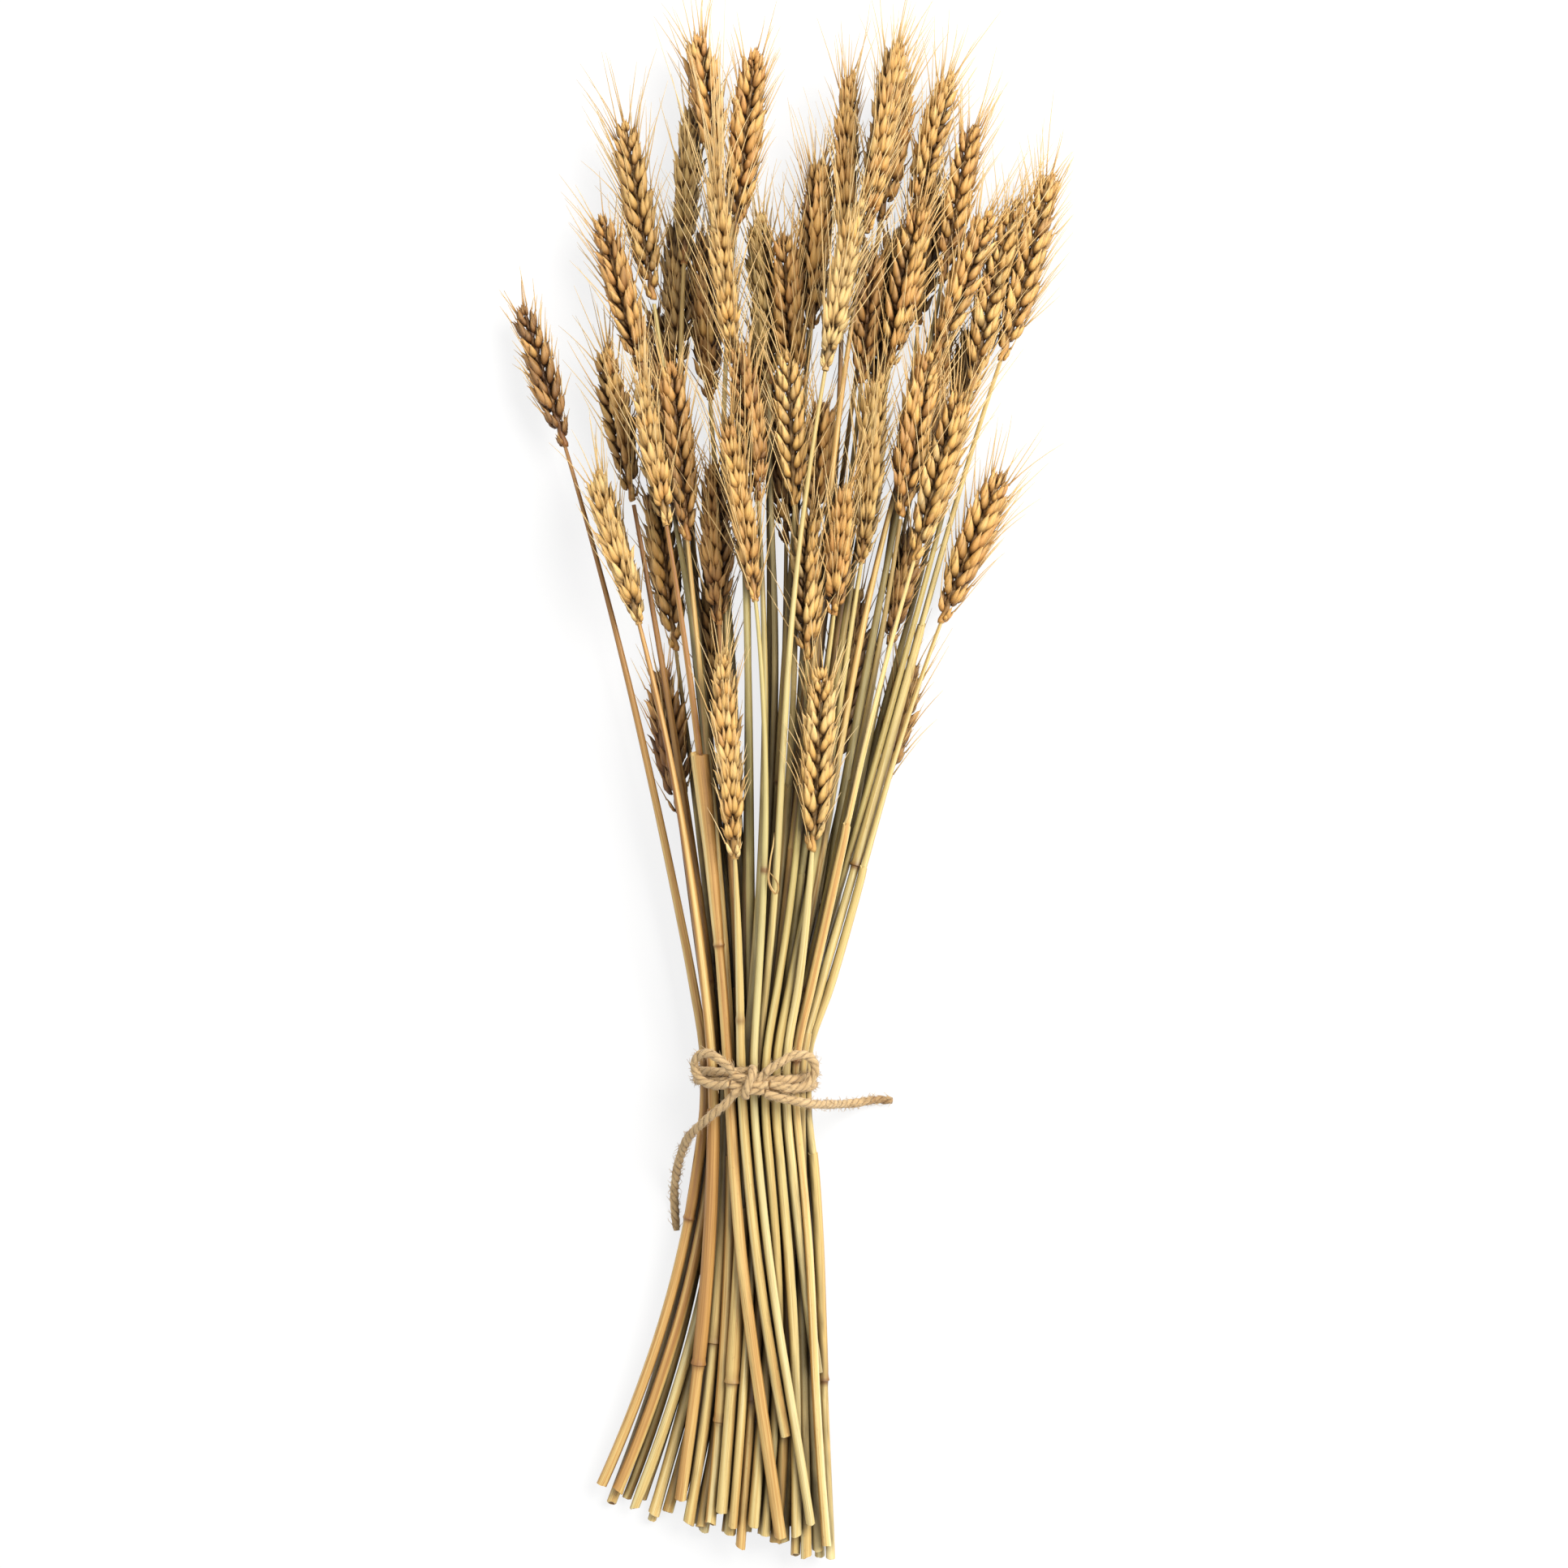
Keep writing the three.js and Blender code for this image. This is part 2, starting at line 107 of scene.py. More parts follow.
class Stalk:
    """The line and thickness of one packed stalk, from the rings of its solid."""

    def __init__(self, name):
        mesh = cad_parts[name].data
        points = np.empty(len(mesh.vertices) * 3)
        mesh.vertices.foreach_get("co", points)
        points = np.unique(points.reshape(-1, 3).round(6), axis=0)
        points = points[points[:, 1].argsort()]
        breaks = np.flatnonzero(np.diff(points[:, 1]) > RING_GAP) + 1
        rings = np.split(points, breaks)
        self.name = name
        self.number = int(name[-2:])
        centres = np.array([(ring.min(axis=0) + ring.max(axis=0)) / 2 for ring in rings])
        self.radius_points = np.array([np.ptp(ring[:, 2]) / 2 for ring in rings])
        self.y_points = centres[:, 1]
        growth = self.radius_points[1:] / np.maximum(self.radius_points[:-1], 1e-6)
        neck = int(np.argmax(growth > NECK_GROWTH))
        self.cut = self.y_points[0]
        self.neck = self.y_points[neck]
        self.tip = self.y_points[-1]
        self.ear_radius = self.radius_points.max()
        self.line_points = self.eased(centres)

    def eased(self, centres):
        """Takes the corners out of the line, which was settled as straight pieces."""
        eased = centres.copy()
        span = self.y_points[2:] - self.y_points[:-2]
        share = ((self.y_points[1:-1] - self.y_points[:-2]) / span)[:, None]
        for _ in range(EASING_ROUNDS):
            middle = eased[:-2] * (1 - share) + eased[2:] * share
            move = EASING * (middle - eased[1:-1])
            reach = np.linalg.norm(move, axis=1, keepdims=True)
            eased[1:-1] += move * np.minimum(1, EASING_REACH / np.maximum(reach, TINY))
        return eased

    def at(self, y):
        """Points on the line at the given places along Y, on a smooth curve."""
        y = np.atleast_1d(np.asarray(y, dtype=float))
        knots = self.y_points
        k = np.clip(np.searchsorted(knots, y) - 1, 0, len(knots) - 2)
        step = knots[k + 1] - knots[k]
        t = np.clip((y - knots[k]) / step, 0, 1)[:, None]
        slope = np.gradient(self.line_points, knots, axis=0)
        start, end = self.line_points[k], self.line_points[k + 1]
        start_slope, end_slope = slope[k] * step[:, None], slope[k + 1] * step[:, None]
        curve = (
            (2 * t**3 - 3 * t**2 + 1) * start
            + (t**3 - 2 * t**2 + t) * start_slope
            + (-2 * t**3 + 3 * t**2) * end
            + (t**3 - t**2) * end_slope
        )
        curve[:, 1] = y
        return curve

    def along(self, y):
        """Unit direction of the line at the given places along Y."""
        ahead = self.at(np.clip(np.asarray(y) + MM, self.cut, self.tip))
        behind = self.at(np.clip(np.asarray(y) - MM, self.cut, self.tip))
        return unit(ahead - behind)

    def radius(self, y):
        return np.interp(y, self.y_points, self.radius_points)


def unit(vectors):
    return vectors / np.maximum(np.linalg.norm(vectors, axis=-1, keepdims=True), 1e-12)


COVER_CELL = 2 * MM
COVER_MARGIN = 10 * MM
# How much wider than its solid a stalk covers what lies under it.
COVER_SPREAD = 0.5 * MM
# Painted shade: up to this depth nothing is darkened, and after each further COVER_DEPTH two thirds
# of the rest is.
COVER_FREE = 1.0 * MM
COVER_DEPTH = 3.2 * MM
# How far painted shade darkens the places that lie deepest under the bundle's upper side.
COVER_SHADE = 0.96
# How far painted shade darkens the colour where neighbours stand close.
CREVICE_SHADE = 0.75


class ShadeUnderCover:
    """How deep places lie under the bundle's upper side, for painted shade: inner straws and husks
    are painted darker where others lie above them.
    """

    def __init__(self, stalks):
        self.low = cad_low_array - COVER_MARGIN
        cells = np.ceil((cad_high_array + COVER_MARGIN - self.low) / COVER_CELL).astype(int)
        filled = np.zeros(cells)
        across, y, upward = (
            self.low[axis] + (np.arange(cells[axis]) + 0.5) * COVER_CELL for axis in range(3)
        )
        for stalk in stalks:
            rows = np.flatnonzero((y > stalk.cut) & (y < stalk.tip))
            centres, radii = stalk.at(y[rows]), stalk.radius(y[rows])
            for row, centre, radius in zip(rows, centres, radii):
                off = (across[:, None] - centre[0]) ** 2 + (upward[None, :] - centre[2]) ** 2
                inside = off < (radius + COVER_SPREAD) ** 2
                filled[:, row, :] = np.maximum(filled[:, row, :], inside)
        above = np.cumsum(filled[:, :, ::-1], axis=2)[:, :, ::-1] - 0.5 * filled
        padded = np.pad(above, ((1, 1), (1, 1), (0, 0)), mode="edge")
        count_x, count_y = above.shape[:2]
        shifts = [(i, j) for i in range(3) for j in range(3)]
        blurred = sum(padded[i : i + count_x, j : j + count_y] for i, j in shifts)
        self.above = blurred / len(shifts)

    def at(self, points):
        """From 0 in the open to 1 deep inside."""
        cell = ((points - self.low) / COVER_CELL).astype(int)
        cell = np.clip(cell, 0, np.array(self.above.shape) - 1)
        depth = self.above[cell[:, 0], cell[:, 1], cell[:, 2]] * COVER_CELL
        return 1 - np.exp(-np.maximum(depth - COVER_FREE, 0) / COVER_DEPTH)


# ---------------------------------------------------------------- meshes


class Shape:
    """Collects vertices, faces, UVs and a colour attribute whose alpha is painted shade, and makes
    one mesh object of them.
    """

    def __init__(self):
        self.points, self.faces, self.uvs, self.tints, self.slots = [], [], [], [], []
        self.count = 0

    def add(self, points, faces, uvs, tints, slot=0):
        """points (n, 3), faces (m, 4) into them, uvs (m, 4, 2), tints (n, 3)."""
        self.points.append(points)
        self.faces.append(faces + self.count)
        self.uvs.append(uvs)
        self.tints.append(np.broadcast_to(tints, (len(points), 3)))
        self.slots.append(np.full(len(faces), slot))
        self.count += len(points)

    def add_copies(self, points, faces, uvs, tints, slot=0):
        """The same faces over and over: points (copies, n, 3), and one tint for each copy."""
        copies, size = points.shape[:2]
        offsets = np.arange(copies)[:, None, None] * size
        self.add(
            points.reshape(-1, 3),
            (faces[None] + offsets).reshape(-1, 4),
            np.tile(uvs, (copies, 1, 1)),
            np.repeat(tints, size, axis=0),
            slot,
        )

    def make(self, name, node, materials, sharp_degrees=None):
        """The piece, which stands for a node of the frame, with the given materials."""
        points = np.concatenate(self.points)
        faces = np.concatenate(self.faces)
        uvs = np.concatenate(self.uvs).reshape(-1, 2)
        tints = np.concatenate(self.tints)
        mesh = bpy.data.meshes.new(name)
        mesh.vertices.add(len(points))
        mesh.vertices.foreach_set("co", kept_off_floor(points).ravel())
        mesh.loops.add(faces.size)
        mesh.loops.foreach_set("vertex_index", faces.ravel())
        mesh.polygons.add(len(faces))
        mesh.polygons.foreach_set("loop_start", np.arange(0, faces.size, 4))
        mesh.polygons.foreach_set("loop_total", np.full(len(faces), 4))
        slots = np.concatenate(self.slots).astype(np.int32)
        mesh.polygons.foreach_set("material_index", slots)
        mesh.update(calc_edges=True)
        layer = mesh.uv_layers.new(name="along")
        layer.data.foreach_set("uv", uvs.ravel())
        tint_and_shade = mesh.attributes.new("tint_and_shade", "FLOAT_COLOR", "POINT")
        # The tint and, as alpha, the painted shade of how deep each point lies under the bundle.
        tint_and_shade.data.foreach_set("color", np.column_stack([tints, shade_under_cover.at(points)]).ravel())
        turn_faces_outwards(mesh)
        mesh.shade_smooth()
        if sharp_degrees:
            mesh.set_sharp_from_angle(angle=math.radians(sharp_degrees))
        for material in materials:
            mesh.materials.append(material)
        piece = bpy.data.objects.new(name, mesh)
        bpy.context.scene.collection.objects.link(piece)
        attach(piece, "root")
        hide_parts(node)
        return piece


def kept_off_floor(points):
    """Husks and awns that reach the floor lie on it."""
    kept = points.copy()
    kept[:, 2] = np.maximum(kept[:, 2], FLOOR_CLEARANCE)
    return kept


def turn_faces_outwards(mesh):
    build = bmesh.new()
    build.from_mesh(mesh)
    bmesh.ops.recalc_face_normals(build, faces=build.faces[:])
    build.to_mesh(mesh)
    build.free()


def grid_faces(rings, sides):
    """Quads between the rings of a tube, each corner's place around as u, and its ring."""
    ring, side = np.meshgrid(np.arange(rings - 1), np.arange(sides), indexing="ij")
    here, there = ring * sides, (ring + 1) * sides
    after = (side + 1) % sides
    faces = np.stack([here + side, here + after, there + after, there + side], axis=-1)
    u = np.stack([side, side + 1, side + 1, side], axis=-1) / sides
    corner_ring = np.stack([ring, ring, ring + 1, ring + 1], axis=-1)
    return faces.reshape(-1, 4), u.reshape(-1, 4), corner_ring.reshape(-1, 4)


def end_caps(rings, sides):
    """Quads that close both ends of a tube with an even number of sides: half of them each."""
    last = (rings - 1) * sides
    strips = np.array([[i, i + 1, sides - 2 - i, sides - 1 - i] for i in range(sides // 2 - 1)])
    return np.concatenate([strips, last + strips[:, ::-1]])


def rings_around(sides_out, normals, sides, squash=1.0):
    """For each side and normal vector, the unit circle that they span, as (n, sides, 3)."""
    angle = (2 * np.pi * np.arange(sides) / sides)[None, :, None]
    across = sides_out[:, None, :] * np.cos(angle)
    return across + normals[:, None, :] * np.sin(angle) * squash


def tube(shape, line, normals, sides_out, radii, v, tints, sides, squash=1.0, shift=0.0):
    """A closed tube with rings of the given radii around the points of a line."""
    around = rings_around(sides_out, normals, sides, squash)
    points = line[:, None, :] + around * radii[:, None, None]
    faces, u, ring = grid_faces(len(line), sides)
    caps = end_caps(len(line), sides)
    cap_uvs = np.zeros((len(caps), 4, 2))
    cap_uvs[..., 1] = v[-1]
    shape.add(
        (points + shift).reshape(-1, 3),
        np.concatenate([faces, caps]),
        np.concatenate([np.stack([u, np.asarray(v)[ring]], axis=-1), cap_uvs]),
        np.repeat(np.broadcast_to(tints, (len(line), 3)), sides, axis=0),
    )


BRISTLE_SIDES = 4


def bristle_lines(feet, ahead, bends, reach, count):
    """The lines of bristles that bend as they go out, with this count of points each."""
    t = np.linspace(0, 1, count)[None, :, None]
    way = ahead[:, None, :] * t + bends[:, None, :] * t**2
    return feet[:, None, :] + way * reach[:, None, None]


def add_bristles(shape, lines, ahead, side, thickness, v, tints, slot=0):
    """Closed four-sided tubes around lines (n, rings, 3), with one radius for each ring."""
    ring = rings_around(side, np.cross(side, ahead), BRISTLE_SIDES)
    points = lines[:, :, None, :] + ring[:, None, :, :] * thickness[None, :, None, None]
    rings = len(thickness)
    faces, u, corner_ring = grid_faces(rings, BRISTLE_SIDES)
    caps = end_caps(rings, BRISTLE_SIDES)
    cap_uvs = np.zeros((2, 4, 2))
    cap_uvs[0, :, 1], cap_uvs[1, :, 1] = v[0], v[-1]
    uvs = np.concatenate([np.stack([u, v[corner_ring]], axis=-1), cap_uvs])
    points = points.reshape(len(lines), rings * BRISTLE_SIDES, 3)
    shape.add_copies(points, np.concatenate([faces, caps]), uvs, tints, slot)


def carried_frames(points):
    """Unit side and normal vectors carried along a polyline without twisting."""
    ahead = unit(np.gradient(points, axis=0))
    steep = abs(ahead[0, 2]) >= 0.9
    start = np.array([1.0, 0.0, 0.0]) if steep else np.array([0.0, 0.0, 1.0])
    normals = [unit(np.cross(np.cross(ahead[0], start), ahead[0]))]
    for direction in ahead[1:]:
        normals.append(unit(normals[-1] - direction * (normals[-1] @ direction)))
    normals = np.array(normals)
    return np.cross(ahead, normals), normals, ahead


def rolled(sides_out, normals, angle):
    """Both vectors turned about the line that they stand on."""
    side = sides_out * np.cos(angle) + normals * np.sin(angle)
    normal = normals * np.cos(angle) - sides_out * np.sin(angle)
    return side, normal


# ---------------------------------------------------------------- straw

STRAW_SEED = 1000
STRAW_SIDES = 16
STRAW_STEP = 6 * MM
# The hollow at the cut end: its width as a share of the straw's, and how deep it goes.
STRAW_WALL = 0.62
STRAW_LIP = 0.3 * MM
HOLLOW_DEPTH = 9 * MM
NODE_RINGS = np.array([-4, -2.2, -1.3, -0.7, -0.2, 0.3, 0.9, 1.7, 3]) * MM
NODE_SWELL = 0.13
NODE_CHANCE = 0.6
NODE_BELOW_NECK = 60 * MM
# Just above a node the straw is a little thinner: how far above, how long and by how much.
WAIST_ABOVE, WAIST_LENGTH, WAIST_THINNING = 2.4 * MM, 1.2 * MM, 0.06
SHEATH_BELOW_NECK = 12 * MM
# The rings around a sheath's end, where the second is on the sheath and the third on the straw.
SHEATH_RINGS = np.array([-3, -0.2, 0.1, 4]) * MM
SHEATH_TONE, LOOSE_SHEATH_TONE = 0.22, -0.12
SAME_RING = 1e-5
TIE_FROM_CUT = 174 * MM
MIDWAY_THINNING = 0.94
UPPER_THINNING = 0.64
STRAW_FULLNESS = (0.86, 1.0)
# Painted shade: straws whose cut ends lie to the left of this place, away from the key light, are
# darker and browner, fully so this much further on.
SHADED_FROM = -20 * MM
SHADED_OVER = 30 * MM
SHADED_TONE = 0.35
# The last stretch below the ear loses its green and turns browner, more so on brown straws.
RIPE_LENGTH = 0.15
RIPE_TONES = (0.15, 0.4)
BROWN_FROM = 0.45
# How much of its green a straw has well below the tie, at the tie and above it, and where.
GREEN_SHARES = [0.35, 0.6, 1]
GREEN_PLACES = np.array([-100, 0, 80]) * MM
# Single straws: tone from 0 for cream to 1 for brown, and how green.
STRAW_LOOKS = {
    1: (0.75, 0.0), 3: (0.7, 0.0), 4: (0.55, 0.0), 7: (0.3, 0.7), 10: (0.2, 0.7), 18: (0.35, 0.5),
    21: (0.2, 0.5), 24: (0.3, 0.7), 25: (0.15, 0.4), 26: (0.3, 0.6), 28: (0.15, 0.8),
    30: (0.3, 0.5), 32: (0.1, 0.6), 33: (0.2, 0.7), 38: (0.2, 0.4), 43: (0.2, 0.6),
}
# Loose sheaths that widen upwards: where one starts and ends above the tie, and how much of the
# straw's radius it adds at its foot, halfway and at its end.
LOOSE_SHEATHS = {4: (51 * MM, 123 * MM, [0.12, 0.55, 1.5])}


def make_straw(stalk, material):
    """One hollow straw with its nodes and the steps where leaf sheaths end."""
    random = np.random.default_rng(STRAW_SEED + stalk.number)
    nodes, sheaths = straw_marks(stalk, random)
    y = straw_places(stalk, nodes, sheaths)
    radius, node_weight, sheathed = straw_thickness(stalk, y, nodes, sheaths, random)

    inner = np.array([stalk.cut + HOLLOW_DEPTH, stalk.cut + STRAW_LIP, stalk.cut])
    rings = np.concatenate([inner, y])
    ahead = stalk.along(rings)
    level = unit(np.cross(ahead, [0.0, 0.0, 1.0]))
    sides_out, normals = rolled(level, np.cross(level, ahead), random.uniform(0, 2 * np.pi))
    walls = radius[0] * np.array([STRAW_WALL, STRAW_WALL, STRAW_WALL + 0.08])
    shift = ragged_ends(rings, sheaths, radius[0], random)
    tints = straw_tints(stalk, y, sheathed, node_weight, random)
    shape = Shape()
    tube(
        shape,
        stalk.at(rings),
        normals,
        sides_out,
        np.concatenate([walls, radius]),
        rings + 0.37 * stalk.number,
        tints,
        STRAW_SIDES,
        squash=random.uniform(0.88, 1.0),
        shift=shift,
    )
    name = f"straw_{stalk.number:02d}"
    shape.make(name, stalk.name, [material], sharp_degrees=38)


def straw_marks(stalk, random):
    """Where along Y the nodes are, and where the sheaths that start at them end."""
    first_node = stalk.cut + random.uniform(30, 150) * MM
    second_node = first_node + random.uniform(100, 160) * MM
    highest = stalk.neck - NODE_BELOW_NECK
    nodes = [
        y for y in (first_node, second_node) if y < highest and random.uniform() < NODE_CHANCE
    ]
    sheaths = [node + random.uniform(60, 110) * MM for node in nodes]
    sheaths = [y for y in sheaths if y < stalk.neck - SHEATH_BELOW_NECK]
    if stalk.number in LOOSE_SHEATHS:
        start, end, _ = LOOSE_SHEATHS[stalk.number]
        nodes, sheaths = [TIE[1] + start], [TIE[1] + end]
    return nodes, sheaths


def sheath_edge(y, sheath):
    """Which of the places are the two rings of a sheath's end."""
    on_sheath = np.isclose(y, sheath + SHEATH_RINGS[1], atol=SAME_RING)
    return on_sheath | np.isclose(y, sheath + SHEATH_RINGS[2], atol=SAME_RING)


def straw_places(stalk, nodes, sheaths):
    """The places along Y of the straw's outer rings, closer together at nodes and sheath ends."""
    end = stalk.neck + 3 * MM
    y = [
        np.arange(stalk.cut + 2 * MM, end, STRAW_STEP),
        np.array([stalk.cut, stalk.cut + STRAW_LIP, end]),
    ]
    y += [node + NODE_RINGS for node in nodes] + [sheath + SHEATH_RINGS for sheath in sheaths]
    y = np.unique(np.concatenate(y).round(5))
    for sheath in sheaths:
        inside = (y > sheath + SHEATH_RINGS[0]) & (y < sheath + SHEATH_RINGS[-1])
        y = y[~inside | sheath_edge(y, sheath)]
    return y[(y >= stalk.cut) & (y <= end)]


def straw_thickness(stalk, y, nodes, sheaths, random):
    """The radius at each place, how much of a node it is, and what a sheath adds there."""
    radius = np.interp(y, *straw_outline(stalk))
    node_weight = np.zeros(len(y))
    sheathed = np.zeros(len(y))
    for node in nodes:
        collar = random.uniform(0.8, 1.9) * MM
        swell = np.exp(-(((y - node) / collar) ** 2))
        waist = np.exp(-(((y - node - WAIST_ABOVE) / WAIST_LENGTH) ** 2))
        radius *= 1 + NODE_SWELL * swell - WAIST_THINNING * waist
        node_weight = np.maximum(node_weight, random.uniform(0.45, 1) * swell + 0.2 * waist)
    for node, sheath in zip(nodes, sheaths):
        thickness = random.uniform(0.1, 0.32)
        if stalk.number in LOOSE_SHEATHS:
            widening = LOOSE_SHEATHS[stalk.number][2]
            thickness = np.interp((y - node) / (sheath - node), [0, 0.5, 1], widening)
        sheathed = np.maximum(sheathed, thickness * ((y > node) & (y <= sheath)))
    radius *= random.uniform(*STRAW_FULLNESS) + sheathed
    tie = stalk.cut + TIE_FROM_CUT
    thinned = [tie, (tie + stalk.neck) / 2, stalk.neck]
    radius *= np.interp(y, thinned, [1, MIDWAY_THINNING, UPPER_THINNING])
    return radius, node_weight, sheathed


def straw_outline(stalk):
    """The stalk's radius below the ear, and a little way into it."""
    keep = stalk.y_points <= stalk.neck
    y = np.concatenate([stalk.y_points[keep], [stalk.neck + 4 * MM]])
    radius = np.concatenate([stalk.radius_points[keep], [stalk.radius_points[keep][-1] * 0.8]])
    return y, radius * 0.99


def ragged_ends(rings, sheaths, radius, random):
    """How far the corners of the rings move along Y: a slanted cut, and torn sheath ends."""
    slant = random.uniform(0.05, 0.45) * radius
    angle = 2 * np.pi * np.arange(STRAW_SIDES) / STRAW_SIDES
    shift = np.zeros((len(rings), STRAW_SIDES, 3))
    shift[1:5, :, 1] = slant * np.cos(angle) + random.normal(0, 0.1, STRAW_SIDES) * MM
    for sheath in sheaths:
        torn = random.uniform(-1, 1) * np.cos(angle + random.uniform(0, 6))
        torn = torn + random.normal(0, 0.4, STRAW_SIDES)
        shift[sheath_edge(rings, sheath), :, 1] = np.clip(torn + 0.6, -1.6, 2.8) * MM
    return shift


def straw_tints(stalk, y, sheathed, node_weight, random):
    """Tone, green and node weight of each ring, from deep in the cut end to the ear; inside the
    hollow the node weight is painted shade.
    """
    # Painted shade: straws on the left, away from the key light, get a darker, browner tone.
    shaded = np.clip((SHADED_FROM - stalk.at(stalk.cut)[0, 0]) / SHADED_OVER, 0, 1)
    tone = random.choice([0.05, 0.2, 0.4, 0.65], p=[0.3, 0.3, 0.25, 0.15])
    tone = tone + random.normal(0, 0.07) + SHADED_TONE * shaded
    green = random.choice([0, 0.1, 0.4, 0.7], p=[0.35, 0.25, 0.2, 0.2])
    tone, green = STRAW_LOOKS.get(stalk.number, (tone, green))
    ripe = np.clip((y - stalk.neck) / RIPE_LENGTH + 1, 0, 1) * RIPE_TONES[int(tone > BROWN_FROM)]
    sheath_tone = LOOSE_SHEATH_TONE if stalk.number in LOOSE_SHEATHS else SHEATH_TONE
    tones = np.clip(tone + np.where(sheathed > 0, sheath_tone, ripe), 0, 1)
    greens = green * np.interp(y, stalk.cut + TIE_FROM_CUT + GREEN_PLACES, GREEN_SHARES)
    # Painted shade in the hollow cut end: the node weight is highest deep inside.
    inside = np.array([[tone, 0, 1.0], [tone, 0, 0.6], [tone, 0, 0.1]])
    return np.concatenate([inside, np.column_stack([tones, greens * (1 - ripe), node_weight])])


# ---------------------------------------------------------------- ears

BRACT_SIDES = 8
# Along a bract from its foot to its point: half width, height of its back, and lean, as shares.
BRACT_ALONG = np.array([0.0, 0.1, 0.28, 0.48, 0.68, 0.86, 1.0])
BRACT_WIDTH = np.array([0.36, 0.76, 1.0, 0.9, 0.57, 0.25, 0.06])
BRACT_BACK = np.array([0.35, 0.8, 1.0, 0.92, 0.64, 0.32, 0.08])
BRACT_LEAN = np.array([0.0, 0.04, 0.08, 0.09, 0.1, 0.13, 0.2])
BRACT_HOLLOW = 0.35
KEEL = 0.14
KEEL_WIDTH = 0.3

EAR_SEED = 2000
SPIKELET_PITCH = 3.25 * MM
FULL_EAR_RADIUS = 5.9 * MM
HUSK_TIP_MARGIN = 7.5 * MM
# Along the ear: how large its spikelets are.
EAR_SHARES = [0, 0.05, 0.16, 0.35, 0.62, 0.82, 0.93, 1]
EAR_SIZES = [0.5, 0.62, 0.9, 1.02, 1.0, 0.86, 0.7, 0.5]
# Spikelets within this share of the ear's foot are sterile and have fewer bracts.
STERILE_BELOW = 0.05
STERILE_BRACTS = 4
TIP_CLOSING = 0.6
EAR_TWIST = 0.6

# One row for each bract of a spikelet: tilt to the side and outwards in degrees, place to the side,
# outwards and up in mm, length, width and depth in mm, how far its back is turned to the side in
# degrees, and the share of a full awn that it carries.
SPIKELET = np.array([
    [-15, 8, -1.4, 0.7, -0.3, 8.4, 3.2, 1.5, -64, 0],
    [15, 8, 1.4, 0.7, 0.1, 8.4, 3.2, 1.5, 64, 0.3],
    [-11, 12, -1.2, 1.1, 0.9, 10.2, 3.4, 1.8, -46, 1],
    [11, 13, 1.2, 1.1, 1.6, 10.0, 3.4, 1.8, 46, 1],
    [0, 4, 0.0, -0.2, 1.4, 8.4, 4.2, 1.4, 180, 0],
    [-6, 16, -0.6, 1.5, 2.4, 9.4, 3.1, 1.7, -20, 0.9],
    [7, 17, 0.7, 1.5, 3.0, 9.2, 3.1, 1.7, 22, 0.8],
    [1, 13, 0.0, 1.3, 3.9, 8.6, 3.0, 1.6, 2, 0.7],
    [-2, 6, -0.2, 0.6, 3.9, 8.0, 3.2, 1.6, -8, 0],
])

AWN_SLOT = 1
AWN_ALONG = np.array([0.0, 0.25, 0.5, 0.75, 1.0])
AWN_RADIUS = np.array([0.3, 0.21, 0.16, 0.12, 0.05]) * MM
AWN_CHANCE = 0.6
AWN_FLARE = 0.16
AWN_LENGTH_FACTOR = 1.3
# An awn starts this far below the point of its bract.
AWN_ROOT = 0.9 * MM


def bract_template():
    """A pointed, boat-shaped bract one unit long: its points, faces and UVs.

    A point is (across, back, lean, along)."""
    angle = 2 * np.pi * np.arange(BRACT_SIDES) / BRACT_SIDES
    cos, sin = np.cos(angle), np.sin(angle)
    keel = KEEL * np.exp(-((cos / KEEL_WIDTH) ** 2))
    back = np.where(sin > 0, sin + keel, BRACT_HOLLOW * sin)
    across = BRACT_WIDTH[:, None] * cos[None, :]
    depth = BRACT_BACK[:, None] * back[None, :]
    lean = np.repeat(BRACT_LEAN[:, None], BRACT_SIDES, axis=1)
    along = np.repeat(BRACT_ALONG[:, None], BRACT_SIDES, axis=1)
    faces, _, ring = grid_faces(len(BRACT_ALONG), BRACT_SIDES)
    caps = end_caps(len(BRACT_ALONG), BRACT_SIDES)
    u = np.concatenate([across.reshape(-1)[faces] * 0.5 + 0.5, np.full((len(caps), 4), 0.5)])
    cap_v = np.repeat([[0.0], [1.0]], len(caps) // 2, axis=0) + np.zeros(4)
    v = np.concatenate([BRACT_ALONG[ring], cap_v])
    points = np.stack([across, depth, lean, along], axis=-1).reshape(-1, 4)
    return points, np.concatenate([faces, caps]), np.stack([u, v], axis=-1)


BRACT_POINTS, BRACT_FACES, BRACT_UVS = bract_template()


def add_bracts(shape, feet, ahead, backs, sizes, tints):
    """feet, ahead and backs (n, 3), sizes (n, 3) as length, width and depth. Gives the points."""
    across = unit(np.cross(backs, ahead))
    backs = np.cross(ahead, across)
    length, width, depth = (sizes[:, i, None, None] for i in range(3))
    to_side, to_back, lean, along = (BRACT_POINTS[None, :, i, None] for i in range(4))
    points = feet[:, None, :] + to_side * width / 2 * across[:, None, :]
    points = points + (to_back * depth + lean * length) * backs[:, None, :]
    points = points + along * length * ahead[:, None, :]
    shape.add_copies(points, BRACT_FACES, BRACT_UVS, tints)
    return feet + (ahead + BRACT_LEAN[-1] * backs) * sizes[:, :1]


